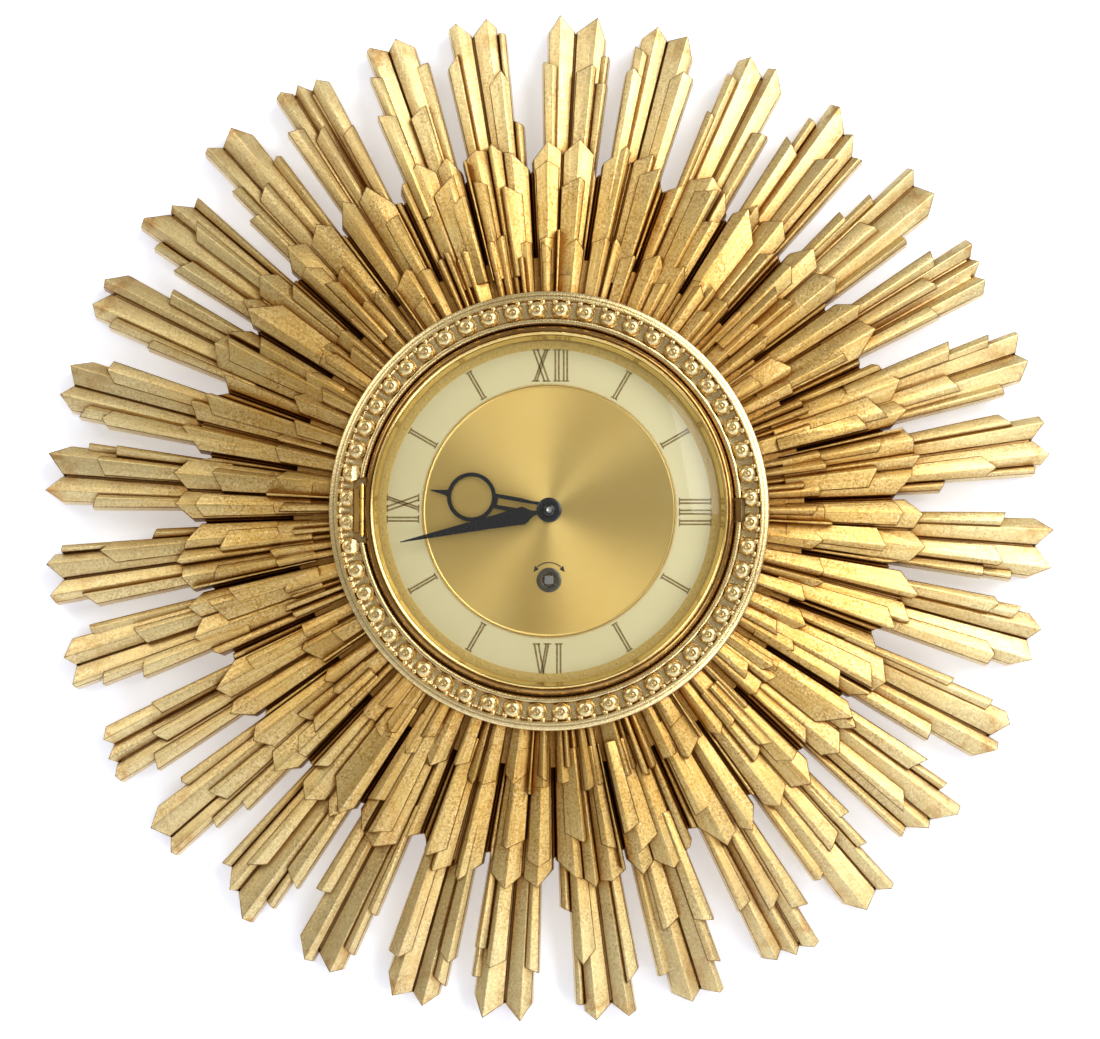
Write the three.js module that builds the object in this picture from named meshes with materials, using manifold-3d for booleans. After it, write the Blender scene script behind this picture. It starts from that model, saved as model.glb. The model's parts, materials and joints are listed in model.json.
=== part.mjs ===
// Sunburst wall clock with a key-wound balance movement, in millimetres.
// +Z is up, the front faces -Y and the wall is the plane y = 0.
// "Depth" always means the distance out from the wall, so depth = -y.
// Clock angles are in degrees, clockwise from twelve as seen from the front.
import * as THREE from "three";
import { mergeVertices } from "three/addons/utils/BufferGeometryUtils.js";
import Module from "manifold-3d";

// ---- Driving dimensions ----
const GAP = 0.3; // air left between two pieces that touch in the real clock
const RAYS_PER_QUADRANT = 8; // eight ray designs, repeated in each quarter
const SECTOR = 11.25; // nominal clock angle taken by one ray
const QUADRANT_START = [-2.85, 87.7, 179.2, 268.6]; // clock angle where each run of eight rays begins
const TIP_R = 280; // ray tips
const WEB_R = 190; // edge of the web that joins the rays
const RING_R = 120; // outside of the beaded ring
const HOLE_R = 98; // hole in the ring that takes the movement case
const SHOULDER_D = 38.5; // depth of the shoulder that the case flange rests on
const BEAD_COUNT = 52;
const BEAD_ROW_R = 110;
const BEAD_R = 4.25;
const BEAD_TOP_R = 2.2;
const BEAD_HEIGHT = 4.4;
const BEAD_CENTRE_D = 44.2;
const BEAD_FACETS = 5;
const TIP_BACK_D = 4; // how far the back of a ray tip stands off the wall
const DISH = 0.1; // the rays lean out from the wall by this much per mm towards the centre
const WEB_THICK = 5;

const CASE_R = 97;
const CASE_WALL = 1;
const FLANGE_R = 100.8;
const FLANGE_D = [38.8, 39.8];
const LEDGE_R = 91;
const LEDGE_D = [35.2, 36.3];
const COVER_R = 97.4;
const COVER_THICK = 1.2;
const COVER_SCREW_R = 88;
const CASE_SCREW_R = 99.6;
const SCREW_ANGLES = [60, 180, 300];

const DIAL_R = 94.6;
const DIAL_D = [36.7, 37.6];
const DIAL_CENTRE_R = 69;
const DIAL_CENTRE_D = [37.9, 38.6];
const CANNON_HOLE_R = 3.6;
const KEY_Z = -38; // height of the winding arbor
const KEY_HOLE_R = 5.6;

const BEZEL_OUT_R = 100.9;
const BEZEL_IN_R = 97.5;
const BEZEL_LIP_R = 95.6;
const BEZEL_D = [41.2, 49.6];
const LIP_BACK_D = 47.9;
const GLASS_R = 97.1;
const GLASS_EDGE_R = 95.2;
const GLASS_EDGE_D = 47.6; // front of the glass at its rim
const GLASS_CROWN_D = 58;
const GLASS_THICK = 1.5;

const HINGE_X = -102;
const HINGE_D = 44;
const KNUCKLE_R = 1.6;
const PIN_R = 0.75;

const HOUR_HAND_D = [41.4, 42.2];
const MINUTE_HAND_D = [44, 44.8];
const HOUR_HAND_ANGLE = 279.7;
const MINUTE_HAND_ANGLE = 257.8;
const HOUR_HAND_LENGTH = 66;
const MINUTE_HAND_LENGTH = 83;

const BACK_PLATE_D = [9, 10.5];
const FRONT_PLATE_D = [32, 33.5];
const PLATE_R = 58;
const PLATE_CENTRE_Z = -14;
const PIVOT_R = 0.5;
const PIVOT_HOLE_R = 0.85;
const ARBOR_R = 1;

const ROUND = 40; // facets round a large circle
const MEDIUM = 20;
const SMALL = 10;
const CASE_FACETS = 36; // facets round the movement case and the glass
const WELD = 1e-4;

// ---- Arbor centres [x, z] and trains ----
// Each centre distance equals the sum of the two pitch radii that mesh there.
const CENTRE = [0, 0];
const BARREL = [0, KEY_Z];
const INTERMEDIATE = [5.62, -13.43];
const THIRD = [-12.47, 7.2];
const FOURTH = [-8.28, 18.7];
const ESCAPE = [3.07, 20.7];
const PALLET = [11.3, 22.9];
const BALANCE = [23.1, 20.8];
const MINUTE_WORK = [11.82, -2.08];

const BRASS = { color: 0xb8944a, roughness: 0.35, metalness: 0.9 };
const STEEL = { color: 0x9a9c9e, roughness: 0.35, metalness: 0.9 };
const GILT = { color: 0xd9c083, roughness: 0.45, metalness: 0.5 };
const BRONZE = { color: 0x6e4f2c, roughness: 0.4, metalness: 0.8 };
const CREAM = { color: 0xddd7c2, roughness: 0.4, metalness: 0.5 };
const BLACK = { color: 0x121212, roughness: 0.3, metalness: 0.1 };
const GLASS_LOOK = { color: 0xeef4f2, roughness: 0.05, metalness: 0 };
const BLUE_STEEL = { color: 0x33405e, roughness: 0.3, metalness: 0.9 };

// ---- Geometry helpers ----
const wasm = await Module();
wasm.setup();

// A closed three.js geometry as a solid for the booleans.
function toSolid(geometry) {
  const bare = geometry.index ? geometry.toNonIndexed() : geometry.clone();
  bare.deleteAttribute("normal");
  bare.deleteAttribute("uv");
  const merged = mergeVertices(bare, WELD);
  const corners = merged.index.array;
  const kept = [];
  for (let i = 0; i < corners.length; i += 3) {
    const [a, b, c] = corners.slice(i, i + 3);
    if (a !== b && b !== c && a !== c) kept.push(a, b, c);
  }
  return new wasm.Manifold(
    new wasm.Mesh({
      numProp: 3,
      vertProperties: merged.attributes.position.array,
      triVerts: new Uint32Array(kept),
    }),
  );
}

function toGeometry(solid) {
  const mesh = solid.getMesh();
  const geometry = new THREE.BufferGeometry();
  geometry.setAttribute("position", new THREE.BufferAttribute(mesh.vertProperties, 3));
  geometry.setIndex(new THREE.BufferAttribute(mesh.triVerts, 1));
  return geometry;
}

function join(...pieces) {
  return toGeometry(pieces.map(toSolid).reduce((sum, solid) => sum.add(solid)));
}

function cut(base, ...tools) {
  return toGeometry(tools.map(toSolid).reduce((left, tool) => left.subtract(tool), toSolid(base)));
}

// The point at a clock angle and radius, as [x, z].
function polar(angle, radius, centre = CENTRE) {
  const turn = THREE.MathUtils.degToRad(angle);
  return [centre[0] + radius * Math.sin(turn), centre[1] + radius * Math.cos(turn)];
}

// Clock angle of the line from one [x, z] point to another.
function heading(from, to) {
  return THREE.MathUtils.radToDeg(Math.atan2(to[0] - from[0], to[1] - from[1]));
}

// A flat plate: an outline in x and z, between two depths, with holes cut through it.
function plate(outline, [near, far], holes = []) {
  const shape = new THREE.Shape(outline.map(([x, z]) => new THREE.Vector2(x, z)));
  const geometry = new THREE.ExtrudeGeometry(shape, { depth: far - near, bevelEnabled: false });
  geometry.rotateX(Math.PI / 2);
  geometry.translate(0, -near, 0);
  if (!holes.length) return geometry;
  return cut(geometry, ...holes.map((hole) => plate(hole, [near - 1, far + 1])));
}

function circle([x, z], radius, facets = SMALL) {
  return Array.from({ length: facets }, (_, i) => polar((i * 360) / facets, radius, [x, z]));
}

// A solid of revolution about a depth axis: a closed profile of [radius, depth].
function turned(profile, facets = ROUND, [x, z] = CENTRE) {
  const points = profile.map(([radius, depth]) => new THREE.Vector2(radius, -depth));
  if (THREE.ShapeUtils.area(points) < 0) points.reverse();
  points.push(points[0].clone());
  const geometry = new THREE.LatheGeometry(points, facets);
  geometry.translate(x, 0, z);
  return geometry;
}

function rod([x, z], radius, [near, far], facets = SMALL) {
  const geometry = new THREE.CylinderGeometry(radius, radius, far - near, facets);
  geometry.translate(x, -(near + far) / 2, z);
  return geometry;
}

// A round bar that runs up and down, for the hinge.
function uprightRod(x, depth, radius, [low, high], facets = SMALL) {
  const geometry = new THREE.CylinderGeometry(radius, radius, high - low, facets);
  geometry.rotateX(Math.PI / 2);
  geometry.translate(x, -depth, (low + high) / 2);
  return geometry;
}

function block([x0, x1], [z0, z1], [near, far]) {
  const geometry = new THREE.BoxGeometry(x1 - x0, far - near, z1 - z0);
  geometry.translate((x0 + x1) / 2, -(near + far) / 2, (z0 + z1) / 2);
  return geometry;
}

// A slotted screw along the depth. The slot is on the end of the head away from the shank.
function screw(centre, headR, shankR, [headNear, headFar], [shankNear, shankFar], slotWidth) {
  const head = rod(centre, headR, [headNear, headFar]);
  const shank = rod(centre, shankR, [shankNear, shankFar], SMALL - 2);
  const outer = shankNear < headNear ? headFar : headNear;
  const slotReach = headR + 1;
  const slotDepth = (headFar - headNear) / 3;
  const slot = block(
    [centre[0] - slotReach, centre[0] + slotReach],
    [centre[1] - slotWidth / 2, centre[1] + slotWidth / 2],
    [outer - slotDepth, outer + slotDepth],
  );
  return cut(join(head, shank), slot);
}

// Pointed gear teeth. One tooth, or one gap, faces the given clock angle.
function gearOutline(centre, teeth, module, angle, gapFirst) {
  const pitchR = (teeth * module) / 2;
  const step = 360 / teeth;
  const start = angle + (gapFirst ? step / 2 : 0);
  const outline = [];
  for (let i = 0; i < teeth; i++) {
    outline.push(polar(start + i * step, pitchR + 0.62 * module, centre));
    outline.push(polar(start + (i + 0.5) * step, pitchR - 1.0 * module, centre));
  }
  return outline;
}

// ---- The moulded sunburst ----
// Three tiers make each ray: two tiers of bars, and a step round the ring. An outline point is [angle within the sector, radius, lift];
// the lift raises a ridge or lowers an edge against the mean slope of the tier.
const RIDGE = 2;
const EDGE = -1.5;

const OUTER_TIER = [
  [[2, 180, EDGE], [2, 253, EDGE], [2.7, 252.5, EDGE], [2.7, 270, EDGE], [4.1, TIP_R, RIDGE], [6, 271, EDGE],
    [8.3, TIP_R, RIDGE], [9.6, 272, EDGE], [9.7, 258, EDGE], [10.4, 258, EDGE], [10.6, 242, EDGE], [10.2, 180, EDGE]],
  [[1.5, 180, EDGE], [1.35, 250, EDGE], [1.9, 252, 0], [1.9, 266.5, EDGE], [2.5, 265.5, 0], [2.5, 272, EDGE],
    [4.1, TIP_R, RIDGE], [5.85, 274, EDGE], [7.7, 279, RIDGE], [8.9, 269, EDGE], [9, 257, 0], [9.9, 255, EDGE],
    [9.6, 180, EDGE]],
  [[1.5, 180, EDGE], [1.5, 241, EDGE], [2.1, 240.5, 0], [2.1, 266, EDGE], [2.7, 265.5, 0], [2.7, 276, EDGE],
    [3.9, TIP_R, RIDGE], [6.15, 273, EDGE], [6.8, TIP_R, RIDGE], [9, 270, EDGE], [9.1, 243, 0], [10.4, 244, EDGE],
    [10.1, 180, EDGE]],
  [[1.3, 180, EDGE], [0.95, 249, EDGE], [2, 246.5, 0], [2, 265.5, EDGE], [3.2, 264.5, 0], [3.25, 278, EDGE],
    [4.4, TIP_R, RIDGE], [6.75, 270, EDGE], [7.6, 272, RIDGE], [9.2, 262.5, 0], [10.5, 264, EDGE], [10.6, 180, EDGE]],
  [[1.4, 180, EDGE], [1.35, 233, EDGE], [2.6, 232, 0], [2.5, 252, EDGE], [3.45, 251, 0], [3.45, 278, EDGE],
    [5.5, 275, EDGE], [7.8, TIP_R, RIDGE], [9.1, 276, EDGE], [9.3, 250, 0], [10.4, 250, EDGE], [10.2, 180, EDGE]],
  [[1.6, 180, EDGE], [1.5, 258, EDGE], [2.75, 256.5, 0], [2.75, 278, EDGE], [3.7, TIP_R, RIDGE], [4.85, 276, EDGE],
    [5.8, 279, RIDGE], [7.1, 273, EDGE], [8, 276, RIDGE], [9.4, 272, EDGE], [9.6, 242, EDGE], [9.5, 180, EDGE]],
  [[1.5, 180, EDGE], [1.5, 241, EDGE], [2.5, 239.5, 0], [2.7, 264, EDGE], [3.4, 262.5, 0], [3.4, 279, EDGE],
    [6, 275, EDGE], [7.2, TIP_R, RIDGE], [9.1, 273, EDGE], [9.2, 261.5, 0], [10.3, 262, EDGE], [9.8, 180, EDGE]],
  [[1.05, 180, EDGE], [1.05, 255, EDGE], [2.2, 260, 0], [2.2, 278, EDGE], [3.2, TIP_R, RIDGE], [4.9, 272, EDGE],
    [6.8, TIP_R, RIDGE], [8.9, 270.5, EDGE], [9, 219.5, 0], [10.4, 217.5, EDGE], [10.5, 180, EDGE]],
];

const MIDDLE_TIER = [
  [[0.5, 135, EDGE], [0.2, 195, EDGE], [2.6, 206, RIDGE], [4.9, 200, EDGE], [7.5, 207, RIDGE], [10.2, 200, EDGE],
    [11, 186, EDGE], [10.9, 135, EDGE]],
  [[0.5, 135, EDGE], [0.3, 195, EDGE], [3.55, 207, RIDGE], [4.8, 200, EDGE], [7.7, 206, RIDGE], [10.2, 196, EDGE],
    [10.7, 190, EDGE], [10.9, 135, EDGE]],
  [[0.5, 135, EDGE], [0.1, 190, EDGE], [2.7, 195, 0], [6.2, 207, RIDGE], [8.2, 202, EDGE], [8.9, 203, RIDGE],
    [11, 193, EDGE], [10.9, 135, EDGE]],
  [[0.5, 135, EDGE], [0.4, 194, EDGE], [3.1, 206, RIDGE], [4.8, 199, EDGE], [7.6, 207, RIDGE], [10, 196, EDGE],
    [11, 192, EDGE], [10.9, 135, EDGE]],
  [[0.5, 135, EDGE], [0.3, 196, EDGE], [2.6, 207, RIDGE], [6, 198, EDGE], [8.4, 205, RIDGE], [10.8, 195, EDGE],
    [10.9, 135, EDGE]],
  [[0.5, 135, EDGE], [0.2, 196, EDGE], [2.5, 207, RIDGE], [4.4, 202, EDGE], [6.9, 207, RIDGE], [9.9, 191, EDGE],
    [11, 190, EDGE], [10.9, 135, EDGE]],
  [[0.5, 135, EDGE], [0.1, 197, EDGE], [4.3, 207, RIDGE], [6.6, 200, EDGE], [9, 205, RIDGE], [10.8, 195, EDGE],
    [10.9, 135, EDGE]],
  [[0.5, 135, EDGE], [0.2, 199, EDGE], [2.9, 203, 0], [5, 207, RIDGE], [7.4, 201, EDGE], [10.9, 190, EDGE],
    [10.9, 135, EDGE]],
];

// Mean depth of the top of each tier, and of the dished back of the moulding, at a radius.
const outerTop = (radius) => 15 + (TIP_R - radius) * DISH;
const middleTop = (radius) => 29 + (205 - radius) * DISH;
const INNER_STEP_R = 151; // outside of the highest tier, a step round the ring
const innerTop = (radius) => 38 + (153 - radius) * DISH;
const backDepth = (radius) => TIP_BACK_D + (TIP_R - radius) * DISH;

// One tier of one ray: a prism whose top and back both slope.
function tier(outline, sectorStart, pitch, top, back) {
  const points = outline.map(([angle, radius, lift]) => {
    const [x, z] = polar(sectorStart + (angle / SECTOR) * pitch, radius);
    return { x, z, front: top(radius) + lift, rear: back(radius) };
  });
  const contour = points.map((p) => new THREE.Vector2(p.x, p.z));
  if (THREE.ShapeUtils.area(contour) < 0) {
    contour.reverse();
    points.reverse();
  }
  const faces = THREE.ShapeUtils.triangulateShape(contour, []);
  const corners = [];
  const front = (i) => corners.push(points[i].x, -points[i].front, points[i].z);
  const rear = (i) => corners.push(points[i].x, -points[i].rear, points[i].z);
  for (const [a, b, c] of faces) {
    front(a);
    front(b);
    front(c);
    rear(c);
    rear(b);
    rear(a);
  }
  points.forEach((_, i) => {
    const j = (i + 1) % points.length;
    front(i);
    rear(i);
    front(j);
    front(j);
    rear(i);
    rear(j);
  });
  const geometry = new THREE.BufferGeometry();
  geometry.setAttribute("position", new THREE.Float32BufferAttribute(corners, 3));
  return geometry;
}

function rays() {
  const pieces = [];
  const buried = (radius) => backDepth(radius) + WEB_THICK / 2;
  const proud = (radius) => backDepth(radius) - 0.6;
  QUADRANT_START.forEach((start, quadrant) => {
    const next = quadrant < 3 ? QUADRANT_START[quadrant + 1] : QUADRANT_START[0] + 360;
    const pitch = (next - start) / RAYS_PER_QUADRANT;
    for (let k = 0; k < RAYS_PER_QUADRANT; k++) {
      const sectorStart = start + k * pitch;
      pieces.push(tier(OUTER_TIER[k], sectorStart, pitch, outerTop, proud));
      pieces.push(tier(MIDDLE_TIER[k], sectorStart, pitch, middleTop, buried));
    }
  });
  return pieces;
}

// Ring in section: hole, shoulder, cove, bead channel, stepped outer lip, skirt.
function beadedRing() {
  return turned(
    [
      [HOLE_R, 0],
      [HOLE_R, SHOULDER_D],
      [101.5, SHOULDER_D],
      [101.5, 43],
      [104.6, 44.6],
      [105.6, 43],
      [114.6, 43],
      [115.4, 46],
      [117.4, 45.8],
      [RING_R, 44.4],
      [RING_R + 1, 23],
      [108, 23],
      [106, 0],
    ],
    BEAD_COUNT,
  );
}

// The dished web that joins the rays, with the highest tier as a step on it, one facet to a ray.
function web() {
  const inner = 117;
  return turned(
    [
      [inner, backDepth(inner)],
      [inner, innerTop(inner)],
      [INNER_STEP_R, innerTop(INNER_STEP_R)],
      [INNER_STEP_R, backDepth(INNER_STEP_R) + WEB_THICK],
      [WEB_R, backDepth(WEB_R) + WEB_THICK],
      [WEB_R, backDepth(WEB_R)],
    ],
    QUADRANT_START.length * RAYS_PER_QUADRANT,
  );
}

function beads() {
  return Array.from({ length: BEAD_COUNT }, (_, i) => {
    const [x, z] = polar(((i + 0.5) * 360) / BEAD_COUNT, BEAD_ROW_R);
    const geometry = new THREE.CylinderGeometry(BEAD_R, BEAD_TOP_R, BEAD_HEIGHT, BEAD_FACETS);
    geometry.translate(x, -BEAD_CENTRE_D, z);
    return geometry;
  });
}

const HANGER_Z = [99.6, 117.4];
const HANGER_HALF_WIDTH = 16;
const HANGER_D = [1, 2.2];
const HANGER_SCREW_X = 12.6;
const HANGER_SCREW_Z = 108.5;

// The thick pad behind the ring that the hanger plate is let into.
const BOSS_HALF_WIDTH = 21;
const BOSS_Z = [99, 119.4];
const BOSS_D = [0, 23];
const NAIL_ROOM_HALF_WIDTH = 8.5;
const NAIL_ROOM_Z = [101, 116.2];
const NAIL_ROOM_DEPTH = 9;

function hangerPocket() {
  const half = HANGER_HALF_WIDTH + GAP;
  const seat = block([-half, half], [HANGER_Z[0] - GAP, HANGER_Z[1] + GAP], [-1, HANGER_D[1] + GAP]);
  const nailRoom = block([-NAIL_ROOM_HALF_WIDTH, NAIL_ROOM_HALF_WIDTH], NAIL_ROOM_Z, [-1, NAIL_ROOM_DEPTH]);
  return [seat, nailRoom];
}

const RECESS_HALF_HEIGHT = 18;
const RECESS_FLOOR_D = 39.6;

// The arched recess that the hinge lies in.
function hingeRecess() {
  const outline = [[-97.9, -RECESS_HALF_HEIGHT]];
  outline.push([-97.9, RECESS_HALF_HEIGHT]);
  const arcR = 6;
  const steps = 4;
  for (let i = 0; i <= steps; i++) outline.push(polar((-90 * i) / steps, arcR, [-101, RECESS_HALF_HEIGHT - arcR]));
  for (let i = 0; i <= steps; i++) outline.push(polar(-90 - (90 * i) / steps, arcR, [-101, arcR - RECESS_HALF_HEIGHT]));
  return plate(outline, [RECESS_FLOOR_D, 60]);
}

function sunburstBody() {
  const tops = join(beadedRing(), web(), ...rays(), ...beads());
  const boss = block([-BOSS_HALF_WIDTH, BOSS_HALF_WIDTH], BOSS_Z, BOSS_D);
  const screwHoles = SCREW_ANGLES.map((a) => rod(polar(a, CASE_SCREW_R), 0.9, [31, 39]));
  const hangerHoles = [-1, 1].map((s) => rod([s * HANGER_SCREW_X, HANGER_SCREW_Z], 1.3, [0, 8]));
  const leafHoles = [-1, 1].map((s) => rod([LEAF_SCREW_X, s * LEAF_SCREW_Z], 0.8, [34, 40]));
  const tabNotch = block([100, 107], [-6.7, 6.7], [RECESS_FLOOR_D, 60]);
  const bore = rod(CENTRE, HOLE_R, [-1, 60], BEAD_COUNT);
  return cut(
    join(tops, boss),
    bore,
    ...hangerPocket(),
    hingeRecess(),
    tabNotch,
    ...screwHoles,
    ...hangerHoles,
    ...leafHoles,
  );
}

// ---- Case and fixings ----
function movementCase() {
  const inner = CASE_R - CASE_WALL;
  const can = turned([
    [inner, 1.5],
    [CASE_R, 1.5],
    [CASE_R, FLANGE_D[0]],
    [FLANGE_R, FLANGE_D[0]],
    [FLANGE_R, FLANGE_D[1]],
    [inner, FLANGE_D[1]],
    [inner, LEDGE_D[1]],
    [LEDGE_R, LEDGE_D[1]],
    [LEDGE_R, LEDGE_D[0]],
    [inner, LEDGE_D[0]],
  ], CASE_FACETS);
  // Lugs inside the back edge take the cover screws.
  const lugs = SCREW_ANGLES.map((angle) => {
    const outline = [polar(angle - 5, 83), polar(angle - 5, 96.4), polar(angle + 5, 96.4), polar(angle + 5, 83)];
    return plate(outline, [2.4, 5]);
  });
  const lugHoles = SCREW_ANGLES.map((angle) => rod(polar(angle, COVER_SCREW_R), 1.3, [0, 6]));
  const flangeHoles = SCREW_ANGLES.map((angle) => rod(polar(angle, CASE_SCREW_R), 0.9, [38, 41]));
  return cut(join(can, ...lugs), ...lugHoles, ...flangeHoles);
}

// The round cover closes the back. Its arc slot reaches the regulator tail, and a pressed cup
// at each screw keeps the head below the face that lies against the wall.
function backCover() {
  const slot = [];
  const sweep = 34;
  const steps = 6;
  for (let i = 0; i <= steps; i++) slot.push(polar(90 - sweep + (2 * sweep * i) / steps, 19.5, BALANCE));
  for (let i = steps; i >= 0; i--) slot.push(polar(90 - sweep + (2 * sweep * i) / steps, 15.5, BALANCE));
  const mouths = SCREW_ANGLES.map((angle) => circle(polar(angle, COVER_SCREW_R), 3.4, MEDIUM));
  const sheet = plate(circle(CENTRE, COVER_R, ROUND), [0, COVER_THICK], [slot, ...mouths]);
  const cups = SCREW_ANGLES.map((angle) => {
    const centre = polar(angle, COVER_SCREW_R);
    return plate(circle(centre, 4.2, MEDIUM), [COVER_THICK - 0.1, 2.1], [circle(centre, 1.3)]);
  });
  return join(sheet, ...cups);
}

function coverScrew(angle) {
  return screw(polar(angle, COVER_SCREW_R), 2.4, 1, [0.1, 0.8], [0.5, 5.4], 0.7);
}

function caseScrew(angle) {
  return screw(polar(angle, CASE_SCREW_R), 1.15, 0.6, [40.1, 40.8], [32, 40.4], 0.4);
}

// Keyhole plate: a round entry for the nail head and a slot above it.
function hangerPlate() {
  const entry = rod([0, 105.2], 4.6, [-1, 6], 20);
  const slot = block([-2.2, 2.2], [105.2, 111.6], [-1, 6]);
  const slotTop = rod([0, 111.6], 2.2, [-1, 6]);
  const holes = [-1, 1].map((s) => rod([s * HANGER_SCREW_X, HANGER_SCREW_Z], 1.3, [0, 3]));
  const body = block([-HANGER_HALF_WIDTH, HANGER_HALF_WIDTH], HANGER_Z, HANGER_D);
  return cut(body, join(entry, slot, slotTop), ...holes);
}

function hangerScrew(side) {
  return screw([side * HANGER_SCREW_X, HANGER_SCREW_Z], 2.2, 1, [0.1, 0.7], [0.4, 7], 0.6);
}

// ---- Dial ----
function dialPlate() {
  const holes = [circle(CENTRE, CANNON_HOLE_R, MEDIUM), circle(BARREL, KEY_HOLE_R, MEDIUM)];
  return plate(circle(CENTRE, DIAL_R, ROUND), DIAL_D, holes);
}

function dialCentre() {
  const holes = [circle(CENTRE, CANNON_HOLE_R, MEDIUM), circle(BARREL, KEY_HOLE_R, MEDIUM)];
  return plate(circle(CENTRE, DIAL_CENTRE_R, ROUND), DIAL_CENTRE_D, holes);
}

function windingGrommet() {
  return turned(
    [
      [4.1, 35.2],
      [5.2, 35.2],
      [5.2, 38.9],
      [6.8, 38.9],
      [6.5, 39.5],
      [5.4, 39.9],
      [4.1, 39.5],
    ],
    MEDIUM,
    BARREL,
  );
}

// ---- Bezel, glass and hinge ----
function bezelRing() {
  const ring = turned([
    [BEZEL_IN_R, BEZEL_D[0]],
    [BEZEL_OUT_R, BEZEL_D[0]],
    [BEZEL_OUT_R, 44.6],
    [100.2, 46.8],
    [98.6, 48],
    [97.7, 48],
    [96.6, BEZEL_D[1]],
    [BEZEL_LIP_R, 48.9],
    [BEZEL_LIP_R, LIP_BACK_D],
    [BEZEL_IN_R, LIP_BACK_D],
  ]);
  const hingeNotch = block([-106, HINGE_X + KNUCKLE_R + 0.4], [-15, 15], [41, HINGE_D + KNUCKLE_R + 0.4]);
  return cut(ring, hingeNotch);
}

// Depth of the front of the domed glass at a radius.
function glassFront(radius) {
  const rise = GLASS_CROWN_D - GLASS_EDGE_D;
  const sphereR = (GLASS_EDGE_R ** 2 + rise ** 2) / (2 * rise);
  return GLASS_CROWN_D - (sphereR - Math.sqrt(sphereR ** 2 - radius ** 2));
}

function domedGlass() {
  const rings = 3;
  const profile = [];
  for (let i = 0; i <= rings; i++) {
    const radius = (GLASS_EDGE_R * i) / rings;
    profile.push([radius, glassFront(radius)]);
  }
  profile.push([GLASS_R, GLASS_EDGE_D]);
  profile.push([GLASS_R, GLASS_EDGE_D - GLASS_THICK]);
  for (let i = rings; i >= 0; i--) {
    const radius = (GLASS_EDGE_R * i) / rings;
    profile.push([radius, glassFront(radius) - GLASS_THICK]);
  }
  return toGeometry(toSolid(turned(profile, CASE_FACETS)));
}

// The sight ring holds the glass in from behind and slopes down to the dial edge.
function sightRing() {
  return turned([
    [93.8, 41.4],
    [97.1, 41.4],
    [97.1, 45.8],
    [95.5, 45.8],
    [94.1, 42.4],
  ]);
}

function bezelTab() {
  const foot = block([98, 102], [-6, 6], [40.2, 40.9]);
  const riser = block([101.3, 102], [-6, 6], [40.2, 45.6]);
  const thumb = block([101.3, 104.8], [-6, 6], [44.9, 45.6]);
  return join(foot, riser, thumb);
}

const LEAF_SCREW_X = -104.8;
const LEAF_SCREW_Z = 9.5;
const FIXED_KNUCKLE_HALF = 6;
const MOVING_KNUCKLE = [6.4, 14];

function movingLeaf() {
  const foot = block([-101.8, -98], [-14, 14], [40.2, 40.9]);
  const sides = [-1, 1].map((s) => {
    const span = MOVING_KNUCKLE.map((z) => z * s).sort((a, b) => a - b);
    const riser = block([-101.8, -101.2], span, [40.2, HINGE_D]);
    return join(riser, uprightRod(HINGE_X, HINGE_D, KNUCKLE_R, span));
  });
  const bore = uprightRod(HINGE_X, HINGE_D, PIN_R + GAP, [-20, 20]);
  return cut(join(foot, ...sides), bore);
}

function fixedLeaf() {
  const centre = [-FIXED_KNUCKLE_HALF, FIXED_KNUCKLE_HALF];
  const foot = block([-106.4, -103.2], [-12, 12], [40, 40.7]);
  const riser = block([-103.8, -103.2], centre, [40, HINGE_D + 0.6]);
  const knuckle = uprightRod(HINGE_X, HINGE_D, KNUCKLE_R, centre);
  const bore = uprightRod(HINGE_X, HINGE_D, PIN_R + GAP, [-20, 20]);
  const screwHoles = [-1, 1].map((s) => rod([LEAF_SCREW_X, s * LEAF_SCREW_Z], 0.8, [39, 42]));
  return cut(join(foot, riser, knuckle), bore, ...screwHoles);
}

function leafScrew(side) {
  return screw([LEAF_SCREW_X, side * LEAF_SCREW_Z], 1, 0.5, [41, 41.6], [35, 41.3], 0.35);
}

// ---- Hands ----
// An outline drawn pointing at twelve is turned to its clock angle.
function turnTo(outline, angle) {
  const turn = THREE.MathUtils.degToRad(angle);
  return outline.map(([x, z]) => [x * Math.cos(turn) + z * Math.sin(turn), z * Math.cos(turn) - x * Math.sin(turn)]);
}

const mirrored = (half) => [...half, ...half.map(([x, z]) => [-x, z]).reverse()];

function minuteHand() {
  const half = [
    [1.1, 6],
    [1.5, 9],
    [4.7, 14],
    [3.6, 30],
    [0.4, MINUTE_HAND_LENGTH - 1],
  ];
  const blade = plate(turnTo(mirrored(half), MINUTE_HAND_ANGLE), MINUTE_HAND_D);
  const hub = turned([[0, 43.4], [6.8, 43.8], [6.8, 44.6], [5.6, 45], [0, 45]], MEDIUM);
  const bore = rod(CENTRE, 1.55, [40, 50]);
  return cut(join(blade, hub), bore);
}

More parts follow.
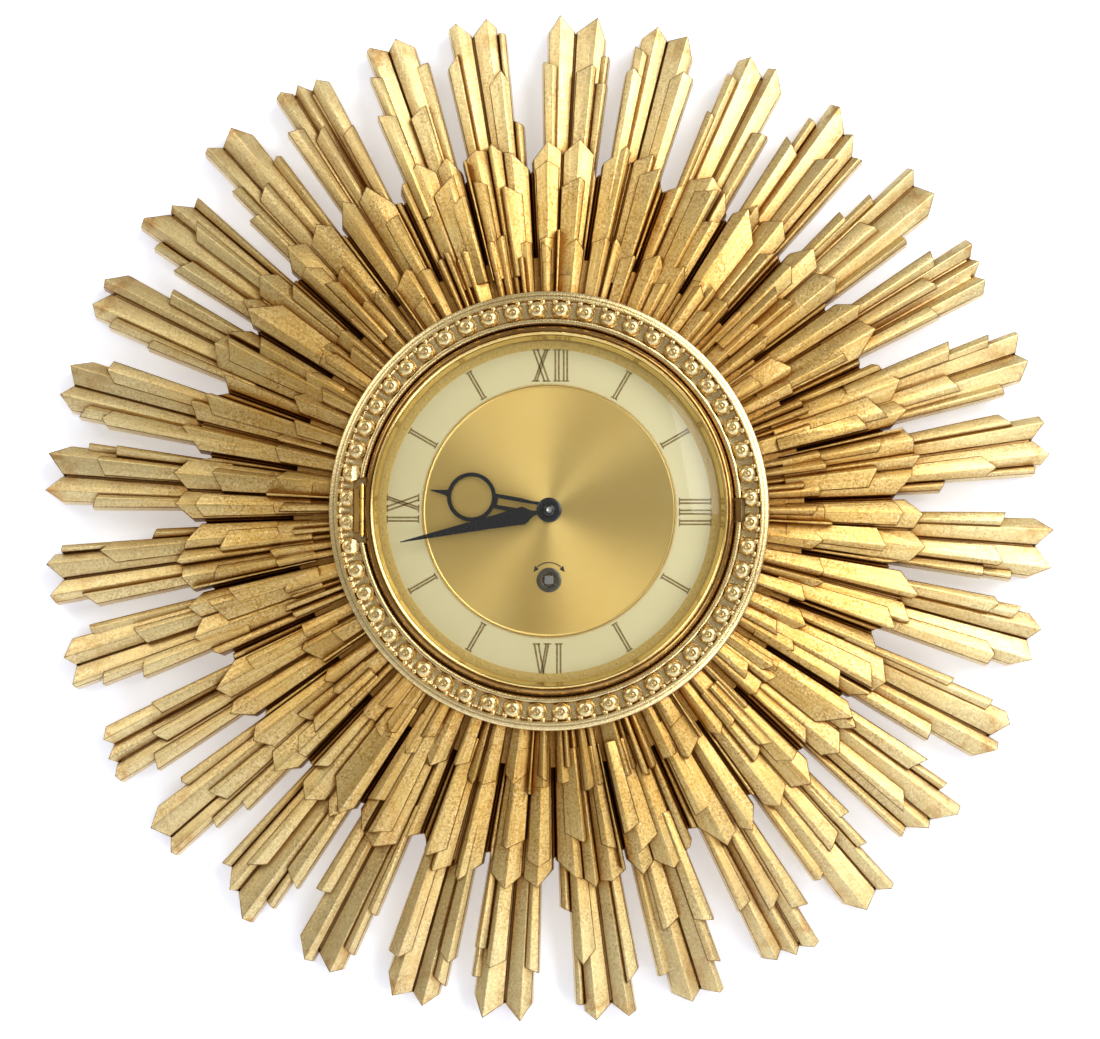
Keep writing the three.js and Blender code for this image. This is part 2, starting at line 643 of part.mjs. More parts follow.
function hourHand() {
  const ringZ = 43;
  const spike = plate(turnTo(mirrored([[1.7, ringZ + 12], [0.3, HOUR_HAND_LENGTH]]), HOUR_HAND_ANGLE), HOUR_HAND_D);
  const bars = [-1, 1].map((s) => {
    const bar = [[s * 1.8, 4], [s * 1.8, ringZ - 12], [s * 4, ringZ - 12], [s * 4, 16], [s * 3.2, 9], [s * 3.6, 4]];
    return plate(turnTo(bar, HOUR_HAND_ANGLE), HOUR_HAND_D);
  });
  const cross = plate(turnTo(mirrored([[4, ringZ - 14.5], [4, ringZ - 11.6]]), HOUR_HAND_ANGLE), HOUR_HAND_D);
  const [x, z] = turnTo([[0, ringZ]], HOUR_HAND_ANGLE)[0];
  const loop = cut(rod([x, z], 13.4, HOUR_HAND_D, MEDIUM), rod([x, z], 11.2, [40, 44], MEDIUM));
  const hub = turned([[0, 39.6], [3.9, 39.6], [3.9, 41.2], [6, 41.4], [6, 42.2], [0, 42.2]], MEDIUM);
  const bore = rod(CENTRE, 3.3, [38, 44]);
  return cut(join(spike, ...bars, cross, loop, hub), bore);
}

// The dome nut on the end of the centre arbor.
function handNut() {
  const dome = turned([[0, 45.3], [3.4, 45.3], [3.4, 46.2], [2.4, 47], [1.75, 47], [1.75, 47.9], [1.2, 48.2], [0, 48]], 20);
  const bore = rod(CENTRE, 1.3, [45, 46.6]);
  return cut(dome, bore);
}

// ---- Motion work behind the dial ----
function cannonPinion() {
  const teeth = plate(gearOutline(CENTRE, 12, 0.5, heading(CENTRE, MINUTE_WORK), true), [33.9, 34.8]);
  const tube = rod(CENTRE, 1.9, [33.9, 43]);
  const seat = rod(CENTRE, 1.5, [43, 44.9]);
  const bore = rod(CENTRE, 1.25, [30, 50]);
  return cut(join(teeth, tube, seat), bore);
}

function minuteWheel() {
  const wheel = plate(gearOutline(MINUTE_WORK, 36, 0.5, heading(MINUTE_WORK, CENTRE), false), [33.9, 34.7]);
  const pinion = plate(gearOutline(MINUTE_WORK, 10, 0.48, heading(MINUTE_WORK, CENTRE), true), [34.6, 36.3]);
  return cut(join(wheel, pinion), rod(MINUTE_WORK, 1.1, [30, 40]));
}

function hourWheel() {
  const wheel = plate(gearOutline(CENTRE, 40, 0.48, heading(CENTRE, MINUTE_WORK), false), [35.4, 36.2]);
  const pipe = rod(CENTRE, 3, [35.4, 42.5], 20);
  const bore = rod(CENTRE, 2.2, [30, 50], 20);
  return cut(join(wheel, pipe), bore);
}

// ---- Movement frame ----
const PILLARS = [[-42, 14], [42, 14], [-36, -52], [36, -52]];
const DIAL_POSTS = [[-28, 26], [28, -54], [-50, -20]];
const PIVOTS = [INTERMEDIATE, THIRD, FOURTH, ESCAPE, PALLET, BALANCE];

function movementPlate(depths, centreHoleR, arborHoleR, extra) {
  const pivots = PIVOTS.map((p) => circle(p, PIVOT_HOLE_R, 6));
  const tenons = PILLARS.map((p) => circle(p, 1.8, 8));
  const holes = [...pivots, ...tenons, circle(CENTRE, centreHoleR, 10), circle(BARREL, arborHoleR), ...extra];
  return plate(circle([0, PLATE_CENTRE_Z], PLATE_R, MEDIUM), depths, holes);
}

function frontPlate() {
  const posts = DIAL_POSTS.map((p) => circle(p, 1.6, 10));
  const body = movementPlate(FRONT_PLATE_D, 1.4, 3.4, posts);
  return join(body, rod(MINUTE_WORK, 0.75, [33, 36.4], 10));
}

function backPlate() {
  const body = movementPlate(BACK_PLATE_D, PIVOT_HOLE_R, 3.4, [circle(CLICK_PIVOT, 0.9, 8), circle(SPRING_FOOT, 0.9, 8)]);
  return body;
}

function pillar(centre) {
  const body = rod(centre, 3, [BACK_PLATE_D[1] + GAP, FRONT_PLATE_D[0] - GAP]);
  const tenons = rod(centre, 1.5, [BACK_PLATE_D[0] - 0.8, FRONT_PLATE_D[1] + 0.8], 10);
  return join(body, tenons);
}

function dialPost(centre) {
  const body = rod(centre, 2.6, [FRONT_PLATE_D[1] + GAP, DIAL_D[0] - GAP]);
  const tenon = rod(centre, 1.3, [FRONT_PLATE_D[0] - 0.6, FRONT_PLATE_D[1] + 1], 10);
  return join(body, tenon);
}

// ---- Barrel and winding ----
const BARREL_D = [12, 25];
const DRUM_R = 20;

function barrelDrum() {
  const gear = plate(gearOutline(BARREL, 60, 0.72, heading(BARREL, INTERMEDIATE), false), [BARREL_D[0], 13.2]);
  const drum = rod(BARREL, DRUM_R, BARREL_D, MEDIUM);
  const room = rod(BARREL, DRUM_R - 0.9, [13.2, 26], MEDIUM);
  return cut(join(gear, drum), room, rod(BARREL, 3.4, [0, 30]));
}

function barrelCap() {
  return plate(circle(BARREL, DRUM_R - 1.2, MEDIUM), [23.9, 24.7], [circle(BARREL, 3.4)]);
}

// A wound strip, from the arbor hook to the drum wall.
function spiral(centre, innerR, outerR, turns, thick, depths, stepsPerTurn) {
  const steps = Math.round(turns * stepsPerTurn);
  const inner = [];
  const outer = [];
  for (let i = 0; i <= steps; i++) {
    const angle = (i * 360) / stepsPerTurn;
    const radius = innerR + ((outerR - innerR) * i) / steps;
    inner.push(polar(angle, radius, centre));
    outer.push(polar(angle, radius + thick, centre));
  }
  return plate([...inner, ...outer.reverse()], depths);
}

function windingArbor() {
  const body = rod(BARREL, 3, [7, 33.8]);
  const half = 2.25;
  const square = block([-half, half], [KEY_Z - half, KEY_Z + half], [33.5, 41]);
  return join(body, square);
}

function ratchetWheel() {
  const teeth = 20;
  const step = 360 / teeth;
  const outline = [];
  for (let i = 0; i < teeth; i++) {
    outline.push(polar(i * step, 10.5, BARREL));
    outline.push(polar(i * step + 1.2, 9.2, BARREL));
  }
  return plate(outline, [7, 8.4], [circle(BARREL, 3.3)]);
}

const CLICK_PIVOT = [-15, -29];
const SPRING_FOOT = [-24, -44];

// The click: a pawl on a stud, its nose resting in the ratchet teeth.
function click() {
  const nose = polar(-54, 10.9, BARREL);
  const outline = [nose, [-12, -26.6], [-14, -25.6], [-18, -27], [-19, -31], [-15.5, -32.4], [-12, -31.8]];
  const pawl = plate(outline, [7.1, 8.3]);
  return join(pawl, rod(CLICK_PIVOT, 0.6, [7.2, 10.2], 10));
}

function clickSpring() {
  const foot = rod(SPRING_FOOT, 1.6, [7.1, 8.6], 10);
  const stud = rod(SPRING_FOOT, 0.6, [8, 10.2], 10);
  const strip = plate([[-24.4, -44], [-22.6, -32.4], [-19.6, -31.6], [-19.6, -32.2], [-22, -33], [-23.6, -44]], [7.3, 8.1]);
  return join(foot, stud, strip);
}

// ---- Train ----
// An arbor with pivots in both plates, a wheel and a pinion.
function trainArbor(centre, wheel, wheelD, pinion, pinionD) {
  const parts = [rod(centre, ARBOR_R, [BACK_PLATE_D[1] + GAP, FRONT_PLATE_D[0] - GAP], 10)];
  parts.push(rod(centre, PIVOT_R, [BACK_PLATE_D[0] - 0.3, FRONT_PLATE_D[1] + 0.3], 8));
  if (wheel) parts.push(plate(wheel, wheelD));
  if (pinion) parts.push(plate(pinion, pinionD));
  return join(...parts);
}

function intermediateWheel() {
  const wheel = gearOutline(INTERMEDIATE, 48, 0.52, heading(INTERMEDIATE, CENTRE), false);
  const pinion = gearOutline(INTERMEDIATE, 10, 0.72, heading(INTERMEDIATE, BARREL), true);
  return trainArbor(INTERMEDIATE, wheel, [27, 28.2], pinion, [11.4, 14]);
}

// The centre arbor runs on through the front plate and carries the cannon pinion.
function centreWheel() {
  const wheel = gearOutline(CENTRE, 64, 0.4, heading(CENTRE, THIRD), false);
  const pinion = gearOutline(CENTRE, 8, 0.52, heading(CENTRE, INTERMEDIATE), true);
  return join(
    rod(CENTRE, ARBOR_R, [BACK_PLATE_D[1] + GAP, 46.3], 10),
    rod(CENTRE, PIVOT_R, [BACK_PLATE_D[0] - 0.3, 12], 8),
    plate(wheel, [22, 23]),
    plate(pinion, [26.4, 28.8]),
  );
}

function thirdWheel() {
  const wheel = gearOutline(THIRD, 60, 0.36, heading(THIRD, FOURTH), false);
  const pinion = gearOutline(THIRD, 8, 0.4, heading(THIRD, CENTRE), true);
  return trainArbor(THIRD, wheel, [17, 18], pinion, [21.4, 23.6]);
}

function fourthWheel() {
  const wheel = gearOutline(FOURTH, 64, 0.32, heading(FOURTH, ESCAPE), false);
  const pinion = gearOutline(FOURTH, 8, 0.36, heading(FOURTH, THIRD), true);
  return trainArbor(FOURTH, wheel, [13, 14], pinion, [16.4, 18.6]);
}

// ---- Escapement ----
const ESCAPE_D = [19.4, 20.4];

function escapeWheel() {
  const teeth = 15;
  const step = 360 / teeth;
  const outline = [];
  for (let i = 0; i < teeth; i++) {
    outline.push(polar(i * step, 6.6, ESCAPE));
    outline.push(polar(i * step + 3, 5.2, ESCAPE));
    outline.push(polar(i * step + 14, 5, ESCAPE));
  }
  const pinion = gearOutline(ESCAPE, 8, 0.32, heading(ESCAPE, FOURTH), true);
  return trainArbor(ESCAPE, outline, ESCAPE_D, pinion, [12.4, 14.6]);
}

// The pallet fork: two arms over the escape wheel and a forked tail towards the balance.
function palletFork() {
  const lever = [
    [4.2, 29.6],
    [5, 30.4],
    [11.8, 24.6],
    [16, 23],
    [18.4, 23.4],
    [18.6, 22.6],
    [16.8, 21.9],
    [18.4, 20.6],
    [18, 19.9],
    [15.6, 21.2],
    [12.1, 21.4],
    [10.9, 13],
    [10.1, 13.2],
    [10.2, 23.6],
  ];
  return join(plate(lever, ESCAPE_D), trainArbor(PALLET, null, null, null, null));
}

// The balance: a two-armed rim on its staff, with the impulse pin.
function balanceWheel() {
  const rim = turned([[8.2, 24], [9.5, 24], [9.5, 25.4], [8.2, 25.4]], MEDIUM, BALANCE);
  const arm = block([BALANCE[0] - 8.6, BALANCE[0] + 8.6], [BALANCE[1] - 0.8, BALANCE[1] + 0.8], [24.3, 25.1]);
  const roller = rod(BALANCE, 3, [21, 22], SMALL);
  return join(rim, arm, roller, trainArbor(BALANCE, null, null, null, null));
}

// The regulator: a lever round the staff with a tail that reaches the slot in the cover.
function regulator() {
  const ring = turned([[1.6, 7.2], [3.2, 7.2], [3.2, 8.2], [1.6, 8.2]], 20, BALANCE);
  const arm = plate([[25.8, 20], [41.8, 20.2], [41.8, 21.4], [25.8, 21.6]], [7.2, 8.2]);
  const tail = block([BALANCE[0] + 16.9, BALANCE[0] + 18.1], [20.2, 21.4], [0.9, 8]);
  return join(ring, arm, tail);
}

// ---- Assembly ----
const clock = new THREE.Group();

function add(name, geometry, look) {
  const mesh = new THREE.Mesh(geometry, new THREE.MeshStandardMaterial(look));
  mesh.name = name;
  clock.add(mesh);
}

add("sunburst_body", sunburstBody(), GILT);
add("movement_case", movementCase(), BRASS);
add("back_cover", backCover(), BRASS);
SCREW_ANGLES.forEach((angle, i) => add(`cover_screw_${i + 1}`, coverScrew(angle), STEEL));
SCREW_ANGLES.forEach((angle, i) => add(`case_screw_${i + 1}`, caseScrew(angle), BRASS));
add("hanger_plate", hangerPlate(), STEEL);
[-1, 1].forEach((side, i) => add(`hanger_screw_${i + 1}`, hangerScrew(side), STEEL));
add("dial_plate", dialPlate(), CREAM);
add("dial_centre", dialCentre(), BRASS);
add("winding_grommet", windingGrommet(), BRONZE);
add("bezel_ring", bezelRing(), BRONZE);
add("glass", domedGlass(), GLASS_LOOK);
add("sight_ring", sightRing(), BRASS);
add("bezel_tab", bezelTab(), BRASS);
add("hinge_leaf_moving", movingLeaf(), BRASS);
add("hinge_leaf_fixed", fixedLeaf(), BRASS);
[-1, 1].forEach((side, i) => add(`hinge_screw_${i + 1}`, leafScrew(side), BRASS));
add("hinge_pin", uprightRod(HINGE_X, HINGE_D, PIN_R, [-14.6, 14.6]), STEEL);
add("hour_hand", hourHand(), BLACK);
add("minute_hand", minuteHand(), BLACK);
add("hand_nut", handNut(), STEEL);
add("cannon_pinion", cannonPinion(), STEEL);
add("minute_wheel", minuteWheel(), BRASS);
add("hour_wheel", hourWheel(), BRASS);
add("front_plate", frontPlate(), BRASS);
add("back_plate", backPlate(), BRASS);
PILLARS.forEach((centre, i) => add(`pillar_${i + 1}`, pillar(centre), BRASS));
DIAL_POSTS.forEach((centre, i) => add(`dial_post_${i + 1}`, dialPost(centre), BRASS));
add("barrel_drum", barrelDrum(), BRASS);
add("barrel_cap", barrelCap(), BRASS);
add("mainspring", spiral(BARREL, 4, 18, 4, 0.6, [13.6, 23.5], 14), BLUE_STEEL);
add("winding_arbor", windingArbor(), STEEL);
add("ratchet_wheel", ratchetWheel(), STEEL);
add("click", click(), STEEL);
add("click_spring", clickSpring(), BLUE_STEEL);
add("intermediate_wheel", intermediateWheel(), BRASS);
add("centre_wheel", centreWheel(), BRASS);
add("third_wheel", thirdWheel(), BRASS);
add("fourth_wheel", fourthWheel(), BRASS);
add("escape_wheel", escapeWheel(), BRASS);
add("pallet_fork", palletFork(), STEEL);
add("balance_wheel", balanceWheel(), BRASS);
add("hairspring", spiral(BALANCE, 1.6, 5.6, 3, 0.25, [27, 28], 12), BLUE_STEEL);
add("regulator", regulator(), STEEL);

export default clock;
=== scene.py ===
"""Gilt sunburst wall clock: the detailed visual model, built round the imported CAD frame."""

import json
import math
import random

import bmesh
import bpy
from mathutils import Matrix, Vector


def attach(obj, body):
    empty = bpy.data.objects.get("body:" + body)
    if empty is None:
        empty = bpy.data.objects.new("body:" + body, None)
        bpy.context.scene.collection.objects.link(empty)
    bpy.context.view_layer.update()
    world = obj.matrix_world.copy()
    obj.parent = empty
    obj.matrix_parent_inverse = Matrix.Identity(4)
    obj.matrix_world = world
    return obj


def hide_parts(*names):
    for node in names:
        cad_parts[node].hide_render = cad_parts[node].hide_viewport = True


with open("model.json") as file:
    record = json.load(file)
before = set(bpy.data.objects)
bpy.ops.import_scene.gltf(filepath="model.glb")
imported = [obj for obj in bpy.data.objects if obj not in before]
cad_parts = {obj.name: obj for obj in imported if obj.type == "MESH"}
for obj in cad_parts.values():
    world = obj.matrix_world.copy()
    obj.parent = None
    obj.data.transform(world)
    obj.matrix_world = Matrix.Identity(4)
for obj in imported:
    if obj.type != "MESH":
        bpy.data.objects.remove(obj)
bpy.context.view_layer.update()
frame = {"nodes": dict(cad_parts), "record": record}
MM = 0.001
SEED = 7
random.seed(SEED)
SCENE = bpy.context.scene

# ---- Sizes, in millimetres and clock degrees ----
QUADRANT_START = [-2.85, 87.7, 179.2, 268.6]  # where each quarter of the moulding begins
RAYS_PER_QUADRANT = 8
SECTOR = 11.25  # the share of one ray
TIP_R = 280
WEB_R = 190
WEB_INNER_R = 116.5
HOLE_R = 98
DISH = 0.1  # how fast the rays rise from the wall towards the middle
BEAD_COUNT = 52
BEAD_ROW_R = 110
SCALLOP_ROW_R = 114.3
LIP_R = 121.3  # the outer edge of the beaded ring
RIM_R = 97.7  # where the bezel's darker outer slope, a painted dark reflection, meets its pale crest, a painted highlight
DIAL_FRONT = 37.6
CENTRE_FRONT = 38.6
KEY_Z = -38
KEY_HOLE_R = 5.6
NUMERAL_LOW = 71.4
NUMERAL_HIGH = 88.6
NUMERAL_TURN_R = 80.7  # the numeral at six is turned over about this radius
HOUR_ANGLE = 279.7
MINUTE_ANGLE = 257.8


# ---- Mesh helpers ----
def place(angle, radius, depth):
    """A clock angle, a radius and a depth out from the wall, as a point in metres."""
    turn = math.radians(angle)
    return Vector((radius * math.sin(turn) * MM, -depth * MM, radius * math.cos(turn) * MM))


def at(x, depth, z):
    """A point given by its x, its depth out from the wall and its height, in metres."""
    return Vector((x * MM, -depth * MM, z * MM))


def make_object(name, bm, collection=None):
    """An object with its faces turned outwards."""
    bmesh.ops.recalc_face_normals(bm, faces=bm.faces)
    mesh = bpy.data.meshes.new(name)
    bm.to_mesh(mesh)
    bm.free()
    made = bpy.data.objects.new(name, mesh)
    (collection or SCENE.collection).objects.link(made)
    return made


def lathe(profile, segments, centre=(0, 0), closed=True):
    """Turns a list of (radius, depth) round the axis through centre. A radius of 0 becomes one vertex."""
    bm = bmesh.new()
    rings = []
    for radius, depth in profile:
        if radius == 0:
            rings.append([bm.verts.new(at(centre[0], depth, centre[1]))])
            continue
        ring = []
        for k in range(segments):
            p = place(360 * k / segments, radius, depth)
            ring.append(bm.verts.new(p + at(centre[0], 0, centre[1])))
        rings.append(ring)
    pairs = list(zip(rings, rings[1:]))
    if closed:
        pairs.append((rings[-1], rings[0]))
    for a, b in pairs:
        if len(a) == 1 and len(b) == 1:
            continue
        for k in range(segments):
            n = (k + 1) % segments
            corners = [a[k % len(a)], a[n % len(a)], b[n % len(b)], b[k % len(b)]]
            unique = list(dict.fromkeys(corners))
            bm.faces.new(unique)
    return bm


def lathe_at(profile, segments, angle, radius):
    """A small turned solid, centred at a clock angle and a radius."""
    centre = place(angle, radius, 0)
    return lathe(profile, segments, (centre.x / MM, centre.z / MM), closed=False)


def prism(outline, near, far):
    """An outline of (x, z) pulled from one depth to another."""
    bm = bmesh.new()
    front = [bm.verts.new(at(x, far, z)) for x, z in outline]
    back = [bm.verts.new(at(x, near, z)) for x, z in outline]
    bm.faces.new(front)
    bm.faces.new(list(reversed(back)))
    for k in range(len(outline)):
        n = (k + 1) % len(outline)
        bm.faces.new([front[k], back[k], back[n], front[n]])
    return bm


def slab(outline, low, high):
    """An outline of (x, depth) pulled upright from one height to another."""
    bm = bmesh.new()
    ends = [[bm.verts.new(at(x, depth, z)) for x, depth in outline] for z in (low, high)]
    bm.faces.new(ends[0])
    bm.faces.new(list(reversed(ends[1])))
    for k in range(len(outline)):
        n = (k + 1) % len(outline)
        bm.faces.new([ends[0][k], ends[1][k], ends[1][n], ends[0][n]])
    return bm


def bevel(bm, edges, width, segments):
    """Rounds the edges over, and returns the new faces."""
    rounded = bmesh.ops.bevel(
        bm, geom=edges, offset=width * MM, segments=segments, profile=0.5, affect="EDGES", clamp_overlap=True
    )
    return rounded["faces"]


def soften(bm, width, segments):
    """Rounds every edge over, so that it catches the light."""
    bevel(bm, list(bm.edges), width, segments)
    return bm


def merge(name, meshes):
    """Joins separate closed shells into one object."""
    whole = bmesh.new()
    for bm in meshes:
        bmesh.ops.recalc_face_normals(bm, faces=bm.faces)
        temp = bpy.data.meshes.new("temp")
        bm.to_mesh(temp)
        bm.free()
        whole.from_mesh(temp)
        bpy.data.meshes.remove(temp)
    return make_object(name, whole)


def carve(base, added=(), removed=()):
    """Unions the added meshes with the base object, then cuts the removed ones out of it."""
    for operation, meshes in (("UNION", added), ("DIFFERENCE", removed)):
        if not meshes:
            continue
        tools = bpy.data.collections.new("tools")
        SCENE.collection.children.link(tools)
        made = [make_object("tool", bm, tools) for bm in meshes]
        for tool in made:
            for look in base.data.materials:
                tool.data.materials.append(look)
        step = base.modifiers.new(operation, "BOOLEAN")
        step.operation = operation
        step.operand_type = "COLLECTION"
        step.collection = tools
        step.solver = "MANIFOLD"
        depsgraph = bpy.context.evaluated_depsgraph_get()
        result = bpy.data.meshes.new_from_object(base.evaluated_get(depsgraph))
        base.modifiers.clear()
        base.data = result
        for tool in made:
            bpy.data.objects.remove(tool)
        bpy.data.collections.remove(tools)
    return base


def shade(obj, angle=35):
    """Smooth shading that breaks at edges sharper than the angle."""
    for face in obj.data.polygons:
        face.use_smooth = True
    obj.data.set_sharp_from_angle(angle=math.radians(angle))


def finish_piece(obj, material, body, slot, *replaced):
    """Gives a piece its materials and the body it rides on, and hides the CAD nodes it stands for. Its slot is not
    used.
    """
    looks = material if isinstance(material, (list, tuple)) else [material]
    while len(obj.data.materials) < len(looks):
        obj.data.materials.append(None)
    for index, look in enumerate(looks):
        obj.data.materials[index] = look
    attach(obj, body)
    if replaced:
        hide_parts(*replaced)
    return obj


# ---- Material helpers ----
class Shader:
    """A small wrapper that adds nodes to one material."""

    def __init__(self, name):
        self.material = bpy.data.materials.new(name)
        self.material.use_nodes = True
        self.tree = self.material.node_tree
        self.surface = self.tree.nodes["Principled BSDF"]

    def node(self, kind, inputs=None, **settings):
        made = self.tree.nodes.new(kind)
        for key, value in settings.items():
            setattr(made, key, value)
        for key, value in (inputs or {}).items():
            self.put(made.inputs[key], value)
        return made

    def put(self, socket, value):
        if isinstance(value, bpy.types.NodeSocket):
            self.tree.links.new(value, socket)
        else:
            socket.default_value = value

    def set(self, **inputs):
        for key, value in inputs.items():
            self.put(self.surface.inputs[key.replace("_", " ")], value)

    def coords(self):
        return self.node("ShaderNodeTexCoord").outputs["Object"]

    def noise(self, scale, detail=4, roughness=0.6, vector=None):
        vector = vector or self.coords()
        return self.node(
            "ShaderNodeTexNoise", {"Vector": vector, "Scale": scale, "Detail": detail, "Roughness": roughness}
        ).outputs["Fac"]

    def ramp(self, factor, *stops):
        made = self.node("ShaderNodeValToRGB", {"Fac": factor})
        points = made.color_ramp.elements
        while len(points) < len(stops):
            points.new(0.5)
        for point, (position, colour) in zip(points, stops):
            point.position = position
            point.color = colour if isinstance(colour, tuple) else (colour, colour, colour, 1)
        return made.outputs["Color"]

    def mix(self, factor, a, b, blend="MIX"):
        made = self.node("ShaderNodeMix", data_type="RGBA", blend_type=blend)
        for socket, value in zip((made.inputs[0], made.inputs[6], made.inputs[7]), (factor, a, b)):
            self.put(socket, value)
        return made.outputs[2]

    def math(self, operation, a, b=0.5):
        made = self.node("ShaderNodeMath", operation=operation)
        self.put(made.inputs[0], a)
        self.put(made.inputs[1], b)
        return made.outputs[0]

    def across(self):
        """The distance from the clock's axis, with x and z."""
        spot = self.node("ShaderNodeSeparateXYZ", {"Vector": self.coords()})
        x, z = spot.outputs["X"], spot.outputs["Z"]
        squared = self.math("ADD", self.math("MULTIPLY", x, x), self.math("MULTIPLY", z, z))
        return self.math("SQRT", squared), x, z

    def bump(self, height, strength, distance):
        made = self.node("ShaderNodeBump", {"Height": height, "Strength": strength, "Distance": distance})
        return made.outputs[0]

    def cavity(self, distance):
        """How open a point is: 0 in a tight hollow, 1 in the open."""
        return self.node("ShaderNodeAmbientOcclusion", {"Distance": distance}, samples=6).outputs["AO"]


def rgb(red, green, blue):
    """A display colour, 0 to 255, as a linear colour."""

    def linear(value):
        value /= 255
        return value / 12.92 if value <= 0.04045 else ((value + 0.055) / 1.055) ** 2.4

    return (linear(red), linear(green), linear(blue), 1)


LEAF_OCHRE = rgb(202, 154, 70)
LEAF_GOLD = rgb(222, 190, 108)
LEAF_PALE = rgb(214, 202, 140)
BRUSH_BROWN = rgb(178, 124, 44)
BRUSH_GOLD = rgb(222, 190, 110)
BRUSH_PALE = rgb(242, 228, 176)
SPECKLE_BROWN = rgb(100, 58, 10)
SPECKLE_GOLD = rgb(212, 176, 96)
SPECKLE_PALE = rgb(248, 234, 184)
PIT_BROWN = rgb(96, 54, 10)
PALE_GOLD = rgb(242, 230, 186)
DEEP_OCHRE = rgb(150, 98, 30)
STAIN_OCHRE = rgb(176, 116, 40)
EDGE_BROWN = rgb(92, 54, 12)
PATINA_AND_SHADE_BROWN = rgb(134, 84, 20)
STREAKS_ROUND = 150.0  # how finely the brushing splits round the clock
STREAKS_ALONG = 28.0  # how often a stroke changes along a ray
REACH = 2.5  # turns a radius in metres into a share that is 0.7 at the tips
HOLLOW_DEPTH = 0.88  # how brown a tight hollow gets: brown patina and painted shade


def gilt(name="gilt_leaf", edge=False, hollow_reach=0.008, gloss=(0.42, 0.24), pale=0.0, relief=0.7):
    """Pale gold leaf on moulded resin: mottled, brushed along the rays, paler towards the tips as a painted sheen,
    and brown in the hollows as patina and painted shade. The edge look is the same leaf, its gilding gone through
    to the brown under it, and it also paints dark outlines of shade along the edges. A look with a pale share has
    no ochre middle."""
    s = Shader(name)
    radius, x, z = s.across()
    around = s.math("ARCTAN2", x, z)
    polar = s.node("ShaderNodeCombineXYZ", {
        "X": s.math("MULTIPLY", s.math("SINE", around), STREAKS_ROUND),
        "Y": s.math("MULTIPLY", s.math("COSINE", around), STREAKS_ROUND),
        "Z": s.math("MULTIPLY", radius, STREAKS_ALONG),
    }).outputs[0]
    streak = s.noise(1, 5, 0.65, polar)
    broad = s.noise(26, 3)
    fine = s.noise(700, 5, 0.75)
    share = s.math("MULTIPLY", radius, REACH)

    leaf = s.ramp(broad, (0.34, LEAF_OCHRE), (0.5, LEAF_GOLD), (0.66, LEAF_PALE))
    brushed = s.ramp(streak, (0.34, BRUSH_BROWN), (0.5, BRUSH_GOLD), (0.68, BRUSH_PALE))
    speckle = s.ramp(fine, (0.38, SPECKLE_BROWN), (0.49, SPECKLE_GOLD), (0.64, SPECKLE_PALE))
    patchy = s.ramp(s.noise(55, 4, 0.65), (0.4, 0.22), (0.62, 0.72))
    colour = s.mix(patchy, s.mix(0.5, leaf, brushed), speckle)
    pits = s.ramp(s.noise(900, 3, 0.8), (0.34, 1.0), (0.4, 0.0))
    colour = s.mix(s.math("MULTIPLY", pits, 0.7), colour, PIT_BROWN)

    # Paler towards the tips: a painted sheen on the outer tier. A pale share lifts the whole look evenly.
    pale_and_tip_sheen = s.ramp(share, (0.42, pale), (0.64, 0.38))
    colour = s.mix(pale_and_tip_sheen, colour, PALE_GOLD)
    deep = s.ramp(share, (0.34, 0.4), (0.6, 0.06))
    colour = s.mix(0.0 if pale else deep, colour, DEEP_OCHRE)
    outer = s.ramp(share, (0.62, 0.0), (0.7, 1.0))
    stain = s.ramp(s.noise(75, 5, 0.7), (0.5, 0.0), (0.62, 0.75))
    colour = s.mix(s.math("MULTIPLY", outer, stain), colour, STAIN_OCHRE)
    # The edge look browns the bevels: wear through the gilding, and painted dark outlines of shade along the bars'
    # edges.
    if edge:
        wear_and_shade = s.ramp(s.noise(70, 5, 0.7), (0.36, 1.0), (0.68, 0.2))
        colour = s.mix(wear_and_shade, colour, EDGE_BROWN)
    # Brown in tight hollows, from the occlusion: the patina of the wash, and painted shade in the creases and
    # between the beads.
    hollow = s.ramp(s.cavity(hollow_reach), (0.2, 1.0), (0.9, 0.0))
    s.set(Base_Color=s.mix(s.math("MULTIPLY", hollow, HOLLOW_DEPTH), colour, PATINA_AND_SHADE_BROWN))
    s.set(Metallic=1.0)
    dull, bright = gloss
    s.set(Roughness=s.ramp(s.mix(0.5, fine, streak), (0.35, dull), (0.65, bright)))
    height = s.mix(0.5, s.mix(0.4, broad, streak), fine)
    s.set(Normal=s.bump(height, relief, 0.0008))
    return s.material


def metal(name, light, dark, roughness, grain=180, bump=0.06):
    """A plain metal with a mottled tone and faint wear."""
    s = Shader(name)
    cloud = s.noise(30, 4)
    fine = s.noise(grain, 5, 0.65)
    tone = s.mix(0.4, cloud, fine)
    s.set(Base_Color=s.ramp(tone, (0.32, dark), (0.66, light)))
    s.set(Roughness=s.ramp(fine, (0.3, roughness[1]), (0.7, roughness[0])))
    s.set(Metallic=1.0)
    s.set(Normal=s.bump(fine, bump, 0.0004))
    return s.material


def brushed_dial():
    """Circular-brushed brass: fine turned lines and the wedges of light they throw."""
    lines_per_metre = 2600.0
    s = Shader("dial_brushed_brass")
    radius = s.across()[0]
    along = s.node("ShaderNodeCombineXYZ", {"X": s.math("MULTIPLY", radius, lines_per_metre)})
    lines = s.noise(1, 3, 0.7, along.outputs[0])
    tone = s.mix(0.35, lines, s.noise(18, 3))
    s.set(Base_Color=s.ramp(tone, (0.3, rgb(232, 192, 106)), (0.7, rgb(248, 222, 148))))
    s.set(Metallic=1.0, Roughness=0.34, Anisotropic=0.85)
    tangent = s.node("ShaderNodeTangent", direction_type="RADIAL", axis="Y")
    s.set(Tangent=tangent.outputs[0])
    s.set(Normal=s.bump(lines, 0.04, 0.0002))
    return s.material


